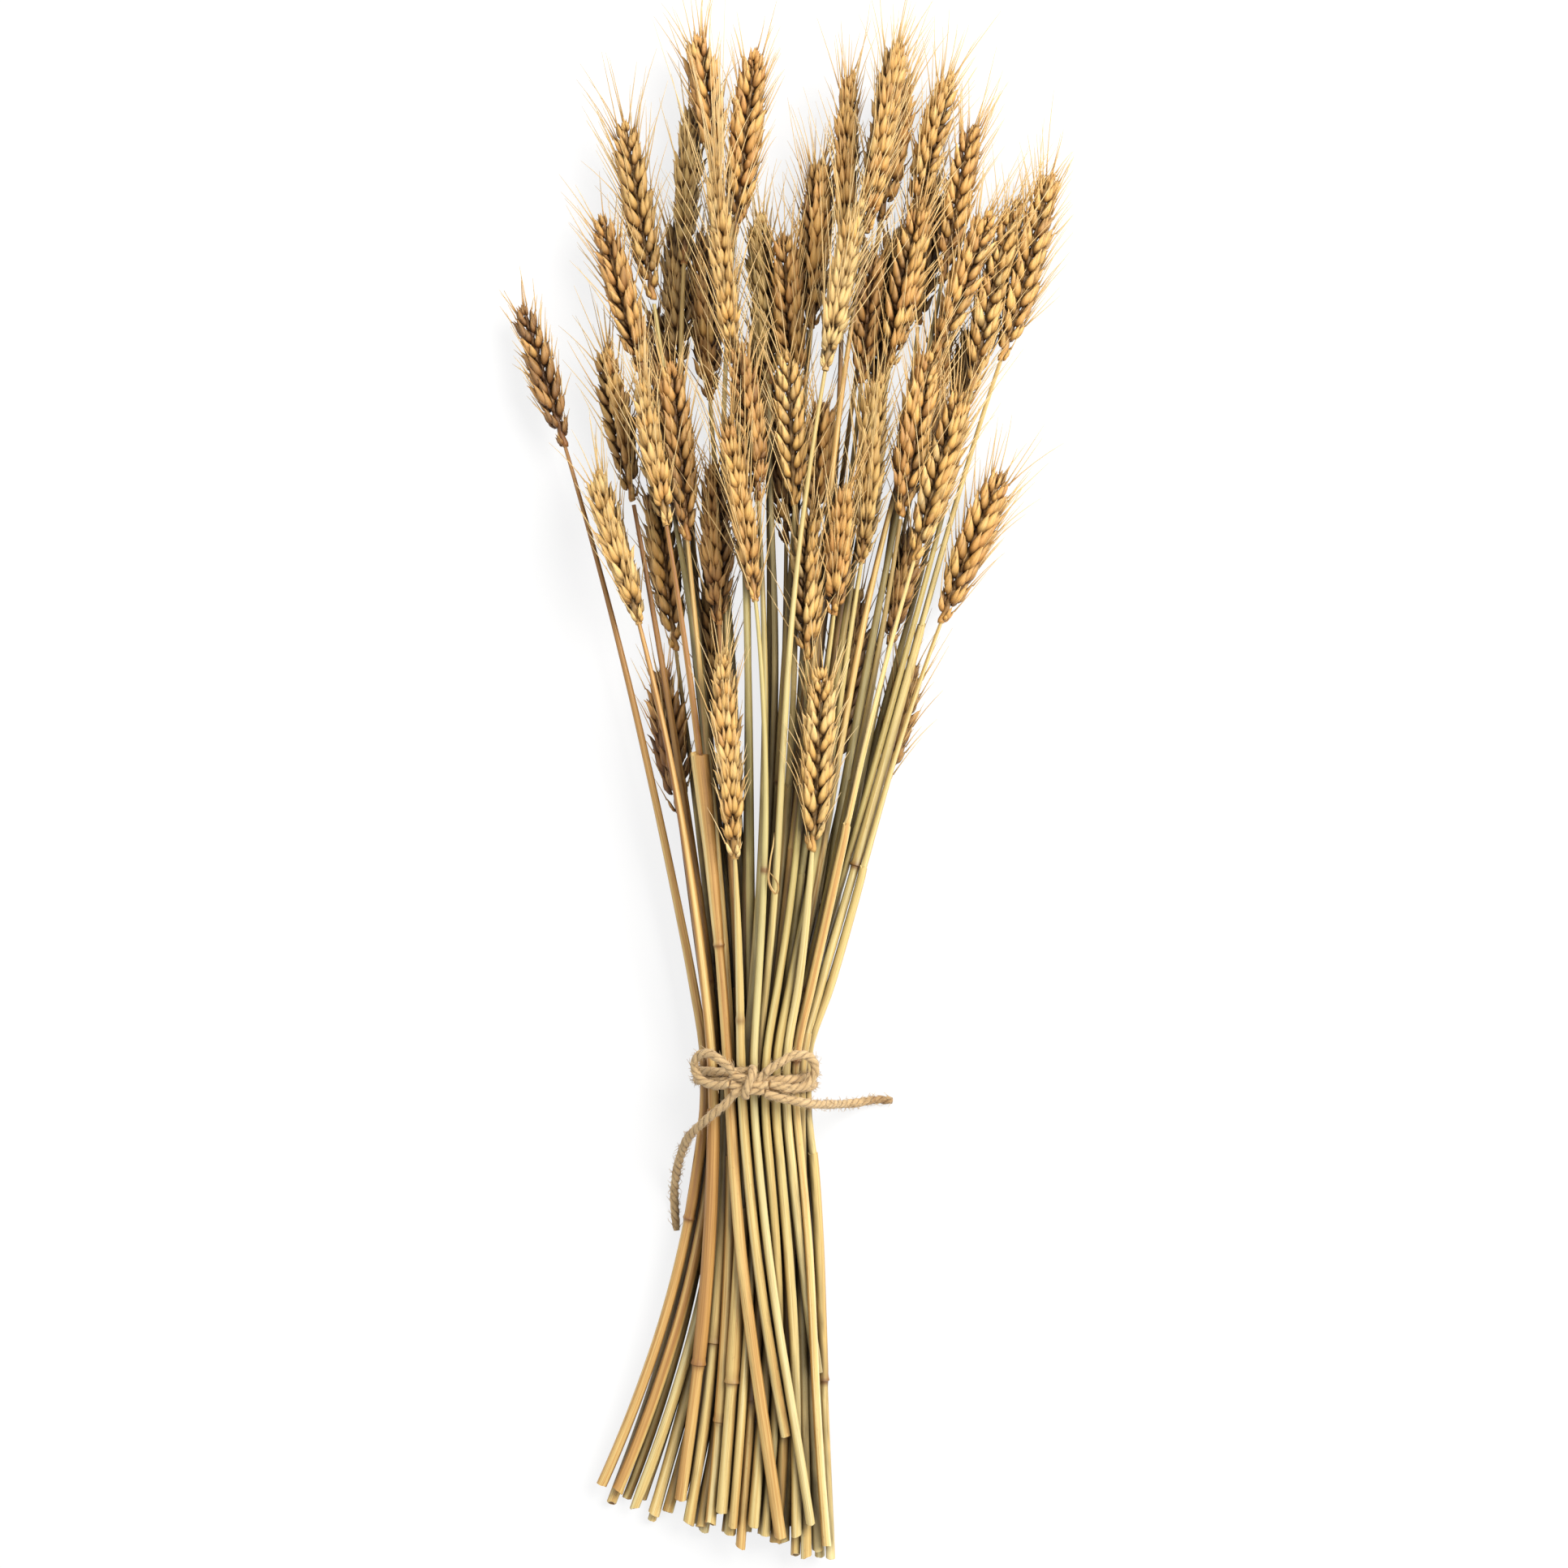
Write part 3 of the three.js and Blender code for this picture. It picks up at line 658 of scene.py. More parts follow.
def add_awns(shape, feet, ahead, bends, lengths, tints):
    """Stiff bristles from the points of the bracts, bending a little outwards."""
    low = np.array([cad_low[0] - SIDE_ROOM, -1.0, FLOOR_CLEARANCE * 2])
    high = np.array([cad_high[0] + SIDE_ROOM, cad_high[1] + END_ROOM, cad_high[2] + TOP_ROOM])
    reach = (ahead + bends) * lengths[:, None]
    room = np.where(reach > 0, high - feet, low - feet)
    share = room / np.where(np.abs(reach) > TINY, reach, TINY)
    lengths = lengths * np.clip(share.min(axis=1), 0.05, 1)
    lines = bristle_lines(feet, ahead, bends, lengths, len(AWN_ALONG))
    side = unit(np.cross(ahead, [0.3, 0.1, 1.0]))
    add_bristles(shape, lines, ahead, side, AWN_RADIUS, AWN_ALONG, tints, AWN_SLOT)


# How single ears look: roll of the ear (0 shows one row of spikelets, 90 shows both rows as a
# braid), tone from 0 for dark brown to 1 for pale gold, and awn length in mm. The low tones of ears
# on the left and behind are partly their own colour and partly painted shade.
EAR_LOOKS = {
    1: (82, -0.1, 10), 2: (45, 0.4, 18), 3: (10, 0.8, 18), 4: (5, 0.75, 22), 5: (75, 0.25, 14),
    6: (70, 0.4, 20), 7: (85, 0.4, 22), 8: (75, 0.5, 18), 9: (20, 0.2, 18), 10: (5, 0.85, 42),
    11: (88, 0.4, 16), 12: (60, 0.35, 18), 13: (30, 0.05, 16), 14: (70, 0.4, 20),
    15: (15, 0.5, 18), 16: (20, 0.6, 20), 17: (35, 0.45, 24), 18: (10, 0.95, 40),
    19: (85, 0.2, 14), 20: (50, 0.6, 20), 21: (80, 0.45, 20), 22: (40, 0.15, 18),
    23: (65, 0.5, 20), 24: (80, 0.6, 22), 25: (85, 0.55, 20), 26: (60, 0.5, 18),
    27: (88, 0.7, 24), 28: (5, 0.5, 42), 29: (40, 0.25, 18), 30: (8, 0.75, 14),
    31: (60, 0.6, 20), 32: (88, 0.7, 14), 33: (20, 0.55, 24), 34: (15, 0.4, 18),
    35: (75, 0.45, 18), 36: (70, 0.45, 20), 37: (65, 0.7, 24), 38: (78, 0.5, 20),
    39: (60, 0.25, 18), 40: (50, 0.15, 14), 41: (30, 0.25, 14), 42: (45, 0.2, 16),
    43: (60, 0.25, 16), 44: (30, 0.15, 14),
}
OLIVE_EARS = {9: 0.7, 12: 0.75, 13: 0.5, 2: 0.25, 7: 0.35, 22: 0.3, 33: 0.5, 44: 0.5}


def make_ear(stalk, husk, awn):
    """One ear: a zigzag rachis, two rows of spikelets with their husks, and the awns."""
    random = np.random.default_rng(EAR_SEED + stalk.number)
    default = (random.uniform(0, 90), random.uniform(0.1, 0.5), random.uniform(12, 22))
    roll_degrees, tone, awn_length = EAR_LOOKS.get(stalk.number, default)
    olive = OLIVE_EARS.get(stalk.number, random.uniform(0, 0.15))
    roll = math.radians(roll_degrees) * random.choice([-1, 1])
    twist = random.uniform(-EAR_TWIST, EAR_TWIST)
    length = stalk.tip - stalk.neck - HUSK_TIP_MARGIN
    count = int(round(length / SPIKELET_PITCH)) + 1
    share = np.linspace(0, 1, count)
    y = stalk.neck + share * length
    centres = stalk.at(y)
    ahead = stalk.along(y)
    side = unit(np.cross(ahead, [0.0, 0.0, 1.0]))
    turns = (roll + twist * (share - 0.5))[:, None]
    outward, lateral = rolled(np.cross(side, ahead), side, turns)
    rows = np.where(np.arange(count) % 2 == 0, 1.0, -1.0)
    outward = outward * rows[:, None]
    outward[-1], lateral[-1] = lateral[-1].copy(), outward[-1].copy()
    scale = stalk.ear_radius / FULL_EAR_RADIUS
    size = np.interp(share, EAR_SHARES, EAR_SIZES) * scale * random.normal(1, 0.035, count)

    shape = Shape()
    add_rachis(shape, centres, outward, stalk, tone)
    axes = list(zip(outward, lateral, ahead))
    bracts = [
        spikelet(centres[k], axes[k], size[k], share[k], tone, olive, random) for k in range(count)
    ]
    feet, heads, backs, sizes, tints, awned = (np.concatenate(column) for column in zip(*bracts))
    points = add_bracts(shape, feet, heads, backs, sizes, tints)

    bearing = awned > 0
    awns = bearing.sum()
    tip_share = np.interp(feet[bearing][:, 1], [stalk.neck, stalk.tip], [0.65, 1.05])
    lengths = AWN_LENGTH_FACTOR * awn_length * MM * awned[bearing] * tip_share
    lengths = lengths * random.uniform(0.6, 1.25, awns)
    middle = stalk.along(feet[bearing][:, 1])
    direction = heads[bearing] * 0.7 + middle * 0.3 + backs[bearing] * AWN_FLARE
    direction = unit(direction + random.normal(0, 0.07, (awns, 3)))
    bends = backs[bearing] * random.uniform(-0.02, 0.12, (awns, 1))
    bends = bends + random.normal(0, 0.04, (awns, 3))
    roots = points[bearing] - heads[bearing] * AWN_ROOT
    add_awns(shape, roots, direction, bends, lengths, tints[bearing])
    shape.make(f"ear_{stalk.number:02d}", stalk.name, [husk, awn])


def spikelet(centre, axes, size, share, tone, olive, random):
    """Feet, headings, backs, sizes, tints and awn shares of the bracts of one spikelet."""
    out, flank, up = axes
    parts = SPIKELET[:STERILE_BRACTS] if share < STERILE_BELOW else SPIKELET
    count = len(parts)
    spread = random.normal(1, 0.16, (count, 3))[:, 0]
    closing = 1 - TIP_CLOSING * share**4
    tilt_side = np.radians(parts[:, 0] * spread * closing + random.normal(0, 4.5, count))
    tilt_out = np.radians(parts[:, 1] * closing + random.normal(0, 3, count))
    heading = unit(up + np.tan(tilt_side)[:, None] * flank + np.tan(tilt_out)[:, None] * out)
    place = parts[:, 2:5] * MM * size
    foot = centre + place[:, :1] * flank + (place[:, 1:2] + 0.5 * MM) * out
    foot = foot + (place[:, 2:3] + random.normal(0, 0.35, (count, 1)) * MM) * up
    face = np.radians(parts[:, 8])
    back = np.cos(face)[:, None] * out + np.sin(face)[:, None] * flank
    back = unit(back + random.normal(0, 0.14, back.shape))
    sizes = parts[:, 5:8] * MM * size * random.normal(1, 0.09, (count, 3))
    shade = np.clip(tone + random.normal(0, 0.1) + random.normal(0, 0.07, count), -0.3, 1)
    tints = np.column_stack([shade, np.full(count, olive), random.uniform(0, 1, count)])
    awned = np.where(random.uniform(0, 1, count) < AWN_CHANCE, parts[:, 9], 0)
    return foot, heading, back, sizes, tints, awned


def add_rachis(shape, centres, outward, stalk, tone):
    """The zigzag stem of the ear, which leans to the side away from each spikelet."""
    line = centres - outward * 0.3 * MM
    line = np.concatenate([stalk.at([stalk.neck - MM]), line])
    sides_out, normals, _ = carried_frames(line)
    radii = np.linspace(1.35, 0.9, len(line)) * MM
    v = np.linspace(0.2, 0.8, len(line))
    tube(shape, line, normals, sides_out, radii, v, [tone, 0, 0.5], 6)


# ---------------------------------------------------------------- twine

TWINE_RADIUS = 1.7 * MM
TWINE_SIDES = 20
TWINE_PLIES = 3
TWINE_LAY = 11 * MM
TWINE_TONE = 0.5
ROUTE_STEP = 0.5 * MM
SPLINE_PIECES = 24
PLY_DEPTH = 0.32
PLY_ROUNDNESS = 0.6
TUFTING = 0.07
TUFT_REACH = 3
UNEVENNESS = 0.05
UNEVEN_LENGTH = 3.1 * MM
# The last stretch of an end that has its own tone, and how far the change takes.
END_LENGTH, END_FADE = 15 * MM, 2 * MM
FUZZ_PER_MM = 4.2
FUZZ_REACH = 3.1 * MM
FUZZ_RADIUS = np.array([0.14, 0.11, 0.08, 0.04]) * MM


def lengths_along(line):
    """How far along the line each of its points is."""
    return np.concatenate([[0], np.cumsum(np.linalg.norm(np.diff(line, axis=0), axis=1))])


def smooth_route(points):
    """Points at even steps on a centripetal spline through the route's points, both ends kept."""
    points = np.asarray(points, dtype=float)
    ends = np.vstack([2 * points[0] - points[1], points, 2 * points[-1] - points[-2]])
    knots = np.concatenate([[0], np.cumsum(np.linalg.norm(np.diff(ends, axis=0), axis=1) ** 0.5)])
    fine = []
    for i in range(1, len(ends) - 2):
        t = np.linspace(knots[i], knots[i + 1], SPLINE_PIECES, endpoint=False)[:, None]
        fine.append(spline_span(ends[i - 1 : i + 3], knots[i - 1 : i + 3], t))
    fine = np.vstack([*fine, points[-1:]])
    length = lengths_along(fine)
    even = np.linspace(0, length[-1], max(3, int(length[-1] / ROUTE_STEP) + 1))
    return np.column_stack([np.interp(even, length, fine[:, i]) for i in range(3)])


def spline_span(p, k, t):
    """The middle span of a Catmull-Rom spline with its own knots."""

    def between(first, second, low, high):
        return (high - t) / (high - low) * first + (t - low) / (high - low) * second

    a1, a2, a3 = (between(p[i], p[i + 1], k[i], k[i + 1]) for i in range(3))
    b1, b2 = between(a1, a2, k[0], k[2]), between(a2, a3, k[1], k[3])
    return between(b1, b2, k[1], k[2])


def add_twine(shape, route, random, ends=(1.0, 1.0), end_tone=TWINE_TONE):
    """Three-ply twisted twine along a route of points, with its stray fibres."""
    line = smooth_route(route)
    sides_out, normals, ahead = carried_frames(line)
    length = lengths_along(line)
    angle = 2 * np.pi * np.arange(TWINE_SIDES) / TWINE_SIDES
    twist = 2 * np.pi * length / TWINE_LAY + random.uniform(0, 2 * np.pi)
    lobes = np.abs(np.sin(TWINE_PLIES * (angle[None, :] - twist[:, None]) / 2)) ** PLY_ROUNDNESS
    taper = np.interp(length / length[-1], [0, 0.04, 0.96, 1], [ends[0], 1, 1, ends[1]])
    uneven = 1 + UNEVENNESS * np.sin(length / UNEVEN_LENGTH + random.uniform(0, 6))
    tufts = random.normal(0, 1, (len(line), TWINE_SIDES))
    spread = range(-TUFT_REACH, TUFT_REACH + 1)
    tufts = sum(np.roll(tufts, (i, i // 2), axis=(0, 1)) for i in spread) / len(spread)
    around = TWINE_RADIUS * (1 - PLY_DEPTH + PLY_DEPTH * lobes + TUFTING * tufts)
    around = around * (taper * uneven)[:, None]
    ring = rings_around(sides_out, normals, TWINE_SIDES)
    points = line[:, None, :] + ring * around[..., None]
    faces, u, rings = grid_faces(len(line), TWINE_SIDES)
    uvs = np.stack([u - (length / TWINE_LAY)[rings], length[rings] / MM], axis=-1)
    caps = end_caps(len(line), TWINE_SIDES)
    near_end = np.clip((length - length[-1] + END_LENGTH) / END_FADE, 0, 1)
    tones = TWINE_TONE + (end_tone - TWINE_TONE) * near_end
    middling = np.full(lobes.size, 0.5)
    shape.add(
        points.reshape(-1, 3),
        np.concatenate([faces, caps]),
        np.concatenate([uvs, np.zeros((len(caps), 4, 2))]),
        np.column_stack([np.repeat(tones, TWINE_SIDES), lobes.reshape(-1), middling]),
    )
    add_fuzz(shape, line, sides_out, normals, ahead, length[-1], random)
    return line, length[-1]


def add_fuzz(shape, line, sides_out, normals, ahead, length, random):
    """Stray jute fibres that leave the twine at a slant and curl back."""
    count = int(length / MM * FUZZ_PER_MM)
    k = random.integers(1, len(line) - 1, count)
    turn = random.uniform(0, 2 * np.pi, count)[:, None]
    out, swirl = rolled(sides_out[k], normals[k], turn)
    feet = line[k] + out * TWINE_RADIUS * 0.8
    # Near an end the fibres head back along the twine, elsewhere either way.
    way = np.where(k < len(line) / 2, 1.0, -1.0)[:, None]
    middle = (k > len(line) * 0.12) & (k < len(line) * 0.88)
    way = np.where(middle[:, None], random.choice([-1, 1], (count, 1)), way)
    heading = unit(ahead[k] * way + swirl * random.normal(0, 0.7, (count, 1)) + out * 0.35)
    bend = out * random.uniform(-0.25, 0.45, (count, 1)) + random.normal(0, 0.25, (count, 3))
    reach = random.uniform(1.2, 3.4, count) * MM
    lines = bristle_lines(feet, heading, bend, reach, len(FUZZ_RADIUS))
    # No fibre stands further off than FUZZ_REACH, or past an end of the twine.
    from_line = lines - line[k][:, None, :]
    lengthwise = (from_line * ahead[k][:, None, :]).sum(axis=-1, keepdims=True)
    off = from_line - lengthwise * ahead[k][:, None, :]
    off = off * np.minimum(1, FUZZ_REACH / np.linalg.norm(off, axis=-1, keepdims=True))
    place = (k * ROUTE_STEP)[:, None, None]
    lengthwise = np.clip(lengthwise, -place, length - ROUTE_STEP - place)
    lines = line[k][:, None, :] + lengthwise * ahead[k][:, None, :] + off
    side = unit(np.cross(heading, out + 0.01))
    v = 0.3 * np.arange(len(FUZZ_RADIUS))
    tints = np.column_stack([random.uniform(0.4, 0.95, count), np.ones(count), np.ones(count)])
    add_bristles(shape, lines, heading, side, FUZZ_RADIUS, v, tints)


KNOT_LOW, KNOT_HIGH = (np.array(corner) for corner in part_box("twine_knot"))
KNOT_MIDDLE = (KNOT_LOW + KNOT_HIGH) / 2
# The knot sits this far to the left of the middle of the tie.
KNOT_LEFT = 2.0
# The middle of the tie, on the floor.
TIE = np.array([KNOT_MIDDLE[0] + KNOT_LEFT * MM, KNOT_MIDDLE[1], 0.0])
KNOT_HALF_SIZE = np.array([7.0, 6.0, 4.0])
KNOT_EXIT_GAP = 0.6


def knot_exit(angle_degrees, rise_degrees):
    """The point just off the knot where twine leaves it, in mm from the tie."""
    centre = np.array([-KNOT_LEFT, 0.0, KNOT_MIDDLE[2] / MM])
    angle, rise = math.radians(angle_degrees), math.radians(rise_degrees)
    level = math.cos(rise)
    way = np.array([level * math.cos(angle), level * math.sin(angle), math.sin(rise)])
    reach = 1 / np.linalg.norm(way / KNOT_HALF_SIZE)
    return centre + way * (reach + KNOT_EXIT_GAP)


# The bow is laid out in mm from the tie, as the frame's solids are.
LEFT_LOOP = [
    knot_exit(148, 12), (-12.5, 8, 46.6), (-17.5, 10.8, 44.4), (-21.6, 9.6, 41.4),
    (-22.9, 5.2, 39.4), (-20.6, 0.6, 39.8), (-15, -1.4, 42.8), knot_exit(184, 0),
]
RIGHT_LOOP = [
    knot_exit(32, 12), (9.5, 7.6, 46.8), (15, 10.2, 44.6), (20.6, 9.2, 41.4),
    (22.8, 4.6, 39.2), (20.4, -0.8, 39.8), (13.5, -2.6, 42.9), knot_exit(-4, 0),
]
LEFT_TAIL = [
    knot_exit(218, -4), (-11.5, -8.5, 44), (-16.5, -12.8, 41), (-21.5, -17.5, 35.5),
    (-25.5, -22.5, 28), (-28, -28, 20.5), (-30, -35, 13), (-31.2, -42, 7),
    (-31.6, -49, 3.2), (-31.3, -55, 1.9), (-30.8, -61, 1.8),
]
RIGHT_TAIL = [
    knot_exit(-36, -4), (9, -5.8, 45.3), (15, -7.2, 43), (20.5, -8.6, 38.5),
    (24.8, -9.5, 32), (28, -10.1, 25), (31.5, -10.6, 18), (36, -10.9, 11),
    (41.5, -10.8, 5.5), (47, -10.2, 2.6), (53, -10.6, 1.8),
]


def make_free_twine(name, route, far_end, material, seed, end_tone=TWINE_TONE):
    """One loop or tail of the bow."""
    places = np.array(route) * MM + TIE
    shape = Shape()
    ends = (1.0, 0.75 if far_end == "bare" else 1.0)
    line, length = add_twine(shape, places, np.random.default_rng(seed), ends, end_tone)
    piece = shape.make(f"twine_{name}", name, [material])


BAND_SEED = 31
BAND_TURNS = 2
BAND_STEPS = 40


def make_band(material):
    """The two turns around the stems, inside the box of the frame's own band."""
    low, high = (np.array(corner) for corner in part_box("twine_band"))
    centre = (low + high) / 2
    reach = (high - low) / 2 - TWINE_RADIUS
    turn = np.linspace(0, BAND_TURNS, BAND_TURNS * BAND_STEPS + 1)
    angle = 2 * np.pi * turn
    along = 2 * reach[1] * (turn / BAND_TURNS - 0.5)
    route = centre + np.column_stack([reach[0] * np.sin(angle), along, reach[2] * np.cos(angle)])
    shape = Shape()
    add_twine(shape, route, np.random.default_rng(BAND_SEED))
    shape.make("twine_turns", "twine_band", [material])


KNOT_SEED = 32
# Strands of the knot in mm from its centre: two that cross it from loop to loop, the strand that
# holds them down, and its own end beside it.
KNOT_STRANDS = [
    [(-7.2, 3.6, 0.4), (-4.5, 2.2, 0.6), (-1, 1.0, 0.6), (2.6, -1.2, 0.3), (6.9, -0.8, 0)],
    [(-7.4, -0.6, 0), (-4, -1.8, -0.2), (0, -1.6, -0.6), (3.6, 1.4, 0.2), (6.4, 3.8, 0.6)],
    [
        (-1.6, -5.4, -1.8), (-1.6, -4.4, 0.8), (-1.0, -1.6, 2.4), (0.4, 1.6, 2.4),
        (1.2, 4.2, 0.6), (1.0, 5.2, -2),
    ],
    [(-6.8, -4.4, -0.4), (-3.6, -3.4, 0), (0.4, -3.2, 0.2), (5.4, -3.4, -0.2)],
]


def make_knot(material):
    shape = Shape()
    random = np.random.default_rng(KNOT_SEED)
    for strand in KNOT_STRANDS:
        add_twine(shape, np.array(strand) * MM + KNOT_MIDDLE, random, ends=(0.9, 0.9))
    shape.make("twine_crossing", "twine_knot", [material])


# ---------------------------------------------------------------- leaf

# A dry leaf tip that curls out between the straws: places from the tie, and how far they lie above
# the highest straw there, in mm.
LEAF_ROUTE = np.array([
    (7.3, 94, -3.5), (6.8, 89.3, -1.2), (5.9, 84.4, 0.2), (5.4, 80.3, 0.6), (5.1, 76.2, 0.8),
    (6.2, 72.8, 1.0), (7.9, 71.1, 1.5), (8.7, 72.8, 2.1), (8.3, 75.4, 2.4), (6.6, 77.8, 2.3),
    (5.4, 79.2, 2.0),
]) * MM
LEAF_HALF_WIDTH = np.array([0.24, 0.3, 0.34, 0.4, 0.52, 0.48, 0.16]) * MM
LEAF_THINNESS = 0.3
LEAF_SIDES = 8
LEAF_TINT = [0.6, 0.15, 0.12]
# Straws whose lines are this close to the leaf, seen from above, may lie under it.
LEAF_OVER = 4 * MM


def make_curled_leaf(stalks, material):
    places = TIE + LEAF_ROUTE
    x, y = places[:, 0], places[:, 1]
    there = [stalk for stalk in stalks if stalk.neck > y[0]]
    nearest = min(there, key=lambda stalk: abs(stalk.at(y[0])[0, 0] - x[0]))
    middle = y.mean()
    below = [stalk for stalk in there if abs(stalk.at(middle)[0, 0] - x.mean()) < LEAF_OVER]
    top = max(stalk.at(middle)[0, 2] + stalk.radius(middle) for stalk in below)
    line = smooth_route(places + [0, 0, top])
    sides_out, normals, _ = carried_frames(line)
    share = np.linspace(0, 1, len(line))
    radii = np.interp(share, np.linspace(0, 1, len(LEAF_HALF_WIDTH)), LEAF_HALF_WIDTH)
    shape = Shape()
    look = (share, LEAF_TINT, LEAF_SIDES, LEAF_THINNESS)
    tube(shape, line, normals, sides_out, radii, *look)
    shape.make("leaf_curl", nearest.name, [material])


# ---------------------------------------------------------------- materials


class Nodes:
    """A short way to write a material's nodes and links."""

    def __init__(self, name):
        self.material = bpy.data.materials.new(name)
        self.material.use_nodes = True
        self.tree = self.material.node_tree
        self.shader = self.tree.nodes["Principled BSDF"]

    def node(self, kind, inputs=None, **settings):
        made = self.tree.nodes.new(kind)
        for key, value in settings.items():
            setattr(made, key, value)
        for key, value in (inputs or {}).items():
            if isinstance(value, bpy.types.NodeSocket):
                self.tree.links.new(value, made.inputs[key])
            else:
                made.inputs[key].default_value = value
        return made

    def ramp(self, factor, *stops):
        """A colour for each factor; a stop is its place and red, green and blue as 0 to 255."""
        made = self.node("ShaderNodeValToRGB", {"Fac": factor})
        elements = made.color_ramp.elements
        while len(elements) < len(stops):
            elements.new(0.5)
        for element, (place, *colour) in zip(elements, stops):
            element.position = place
            element.color = (*linear(*colour), 1)
        return made.outputs["Color"]

    def mix(self, factor, first, colour):
        """From the first colour, by the factor, towards a colour given as 0 to 255."""
        made = self.node("ShaderNodeMix", {"Factor": factor}, data_type="RGBA", blend_type="MIX")
        self.tree.links.new(first, made.inputs[6])
        made.inputs[7].default_value = (*linear(*colour), 1)
        return made.outputs[2]

    def math(self, operation, first, second=0.0, clamp=False):
        made = self.node(
            "ShaderNodeMath", {0: first, 1: second}, operation=operation, use_clamp=clamp
        )
        return made.outputs[0]

    def add(self, first, second):
        return self.math("ADD", first, second)

    def times(self, first, second):
        return self.math("MULTIPLY", first, second)

    def over(self, value, least, gain):
        """How far a value is over the least one, times the gain, from 0 to 1."""
        return self.math("MULTIPLY", self.math("SUBTRACT", value, least, True), gain, True)

    def channels(self):
        """The red, green, blue and alpha of the tint_and_shade attribute; its alpha is painted
        shade, by how deep a place lies under the bundle's upper side.
        """
        tint_and_shade = self.node("ShaderNodeAttribute", attribute_name="tint_and_shade")
        split = self.node("ShaderNodeSeparateColor", {"Color": tint_and_shade.outputs["Color"]})
        return split.outputs[0], split.outputs[1], split.outputs[2], tint_and_shade.outputs["Alpha"]

    def along(self):
        """From 0 at the foot of a husk or awn to 1 at its point."""
        uv = self.node("ShaderNodeUVMap", uv_map="along")
        return self.node("ShaderNodeSeparateXYZ", {"Vector": uv.outputs["UV"]}).outputs["Y"]

    def noise(self, scale, detail, roughness=0.55):
        """Noise with this scale around and along the piece."""
        uv = self.node("ShaderNodeUVMap", uv_map="along")
        mapping = self.node(
            "ShaderNodeMapping", {"Vector": uv.outputs["UV"], "Scale": (*scale, 1)}
        )
        made = self.node(
            "ShaderNodeTexNoise",
            {
                "Vector": mapping.outputs["Vector"],
                "Scale": 1.0,
                "Detail": detail,
                "Roughness": roughness,
            },
        )
        return made.outputs["Fac"]

    def painted_crevice_shade(self, reach, first, colour):
        """Painted shade: towards a darker colour where neighbours stand close around, from an
        ambient occlusion node.
        """
        made = self.node("ShaderNodeAmbientOcclusion", {"Distance": reach}, samples=6)
        close = self.math("SUBTRACT", 1.0, made.outputs["AO"], True)
        return self.mix(self.times(close, CREVICE_SHADE), first, colour)

    def colour(self, socket):
        self.tree.links.new(socket, self.shader.inputs["Base Color"])

    def rough(self, socket):
        self.tree.links.new(socket, self.shader.inputs["Roughness"])

    def bump(self, height, strength, distance):
        made = self.node(
            "ShaderNodeBump", {"Strength": strength, "Distance": distance, "Height": height}
        )
        self.tree.links.new(made.outputs["Normal"], self.shader.inputs["Normal"])

    def settings(self, **values):
        """Plain values on the shader's own sockets, with _ for each space in a name."""
        for name, value in values.items():
            self.shader.inputs[name.replace("_", " ")].default_value = value


def linear(red, green, blue):
    """A colour given as 0 to 255 sRGB, in linear light."""
    shares = [channel / 255 for channel in (red, green, blue)]
    return tuple(s / 12.92 if s <= 0.04045 else ((s + 0.055) / 1.055) ** 2.4 for s in shares)


def straw_material():
    """Dry straw: cream, green or tan, in lengthwise streaks, with brown nodes and rusty flecks, and
    painted shade in crevices, in the hollow cut ends and under the stalks above.
    """
    n = Nodes("straw")
    tone, green, node, painted_shade = n.channels()
    fibre = n.noise((40, 30), 4.0, 0.7)
    streak = n.noise((6, 5), 3.0, 0.65)
    flank = n.noise((2.4, 1.6), 1.0)
    fleck = n.noise((14, 420), 2.0)
    level = n.add(n.times(tone, 0.75), n.times(n.math("SUBTRACT", streak, 0.45), 1.8))
    level = n.add(level, n.times(n.math("SUBTRACT", flank, 0.5), 1.3))
    base = n.ramp(
        level,
        (0.0, 246, 227, 168),
        (0.32, 230, 198, 126),
        (0.6, 204, 156, 88),
        (1.0, 146, 96, 48),
    )
    greened = n.mix(green, base, (184, 174, 110))
    lined = n.mix(n.over(fibre, 0.48, 3.2), greened, (154, 108, 52))
    rusty = n.times(n.over(flank, 0.48, 3.0), 0.7)
    flecked = n.mix(n.times(n.math("GREATER_THAN", fleck, 0.65), rusty), lined, (136, 88, 44))
    # The node channel gives the brown nodes, and painted shade deep in the hollow cut ends.
    noded_and_hollow_shade = n.mix(n.math("MINIMUM", node, 0.85), flecked, (122, 76, 36))
    # Painted shade in the crevices between straws.
    painted_crevice_shade = n.painted_crevice_shade(4 * MM, noded_and_hollow_shade, (70, 42, 16))
    # Painted shade: darker and browner the deeper the place lies under the bundle's upper side.
    n.colour(n.mix(n.times(painted_shade, COVER_SHADE), painted_crevice_shade, (34, 20, 8)))
    n.rough(n.add(n.times(fibre, 0.3), 0.3))
    n.bump(fibre, 0.5, 0.12 * MM)
    return n.material


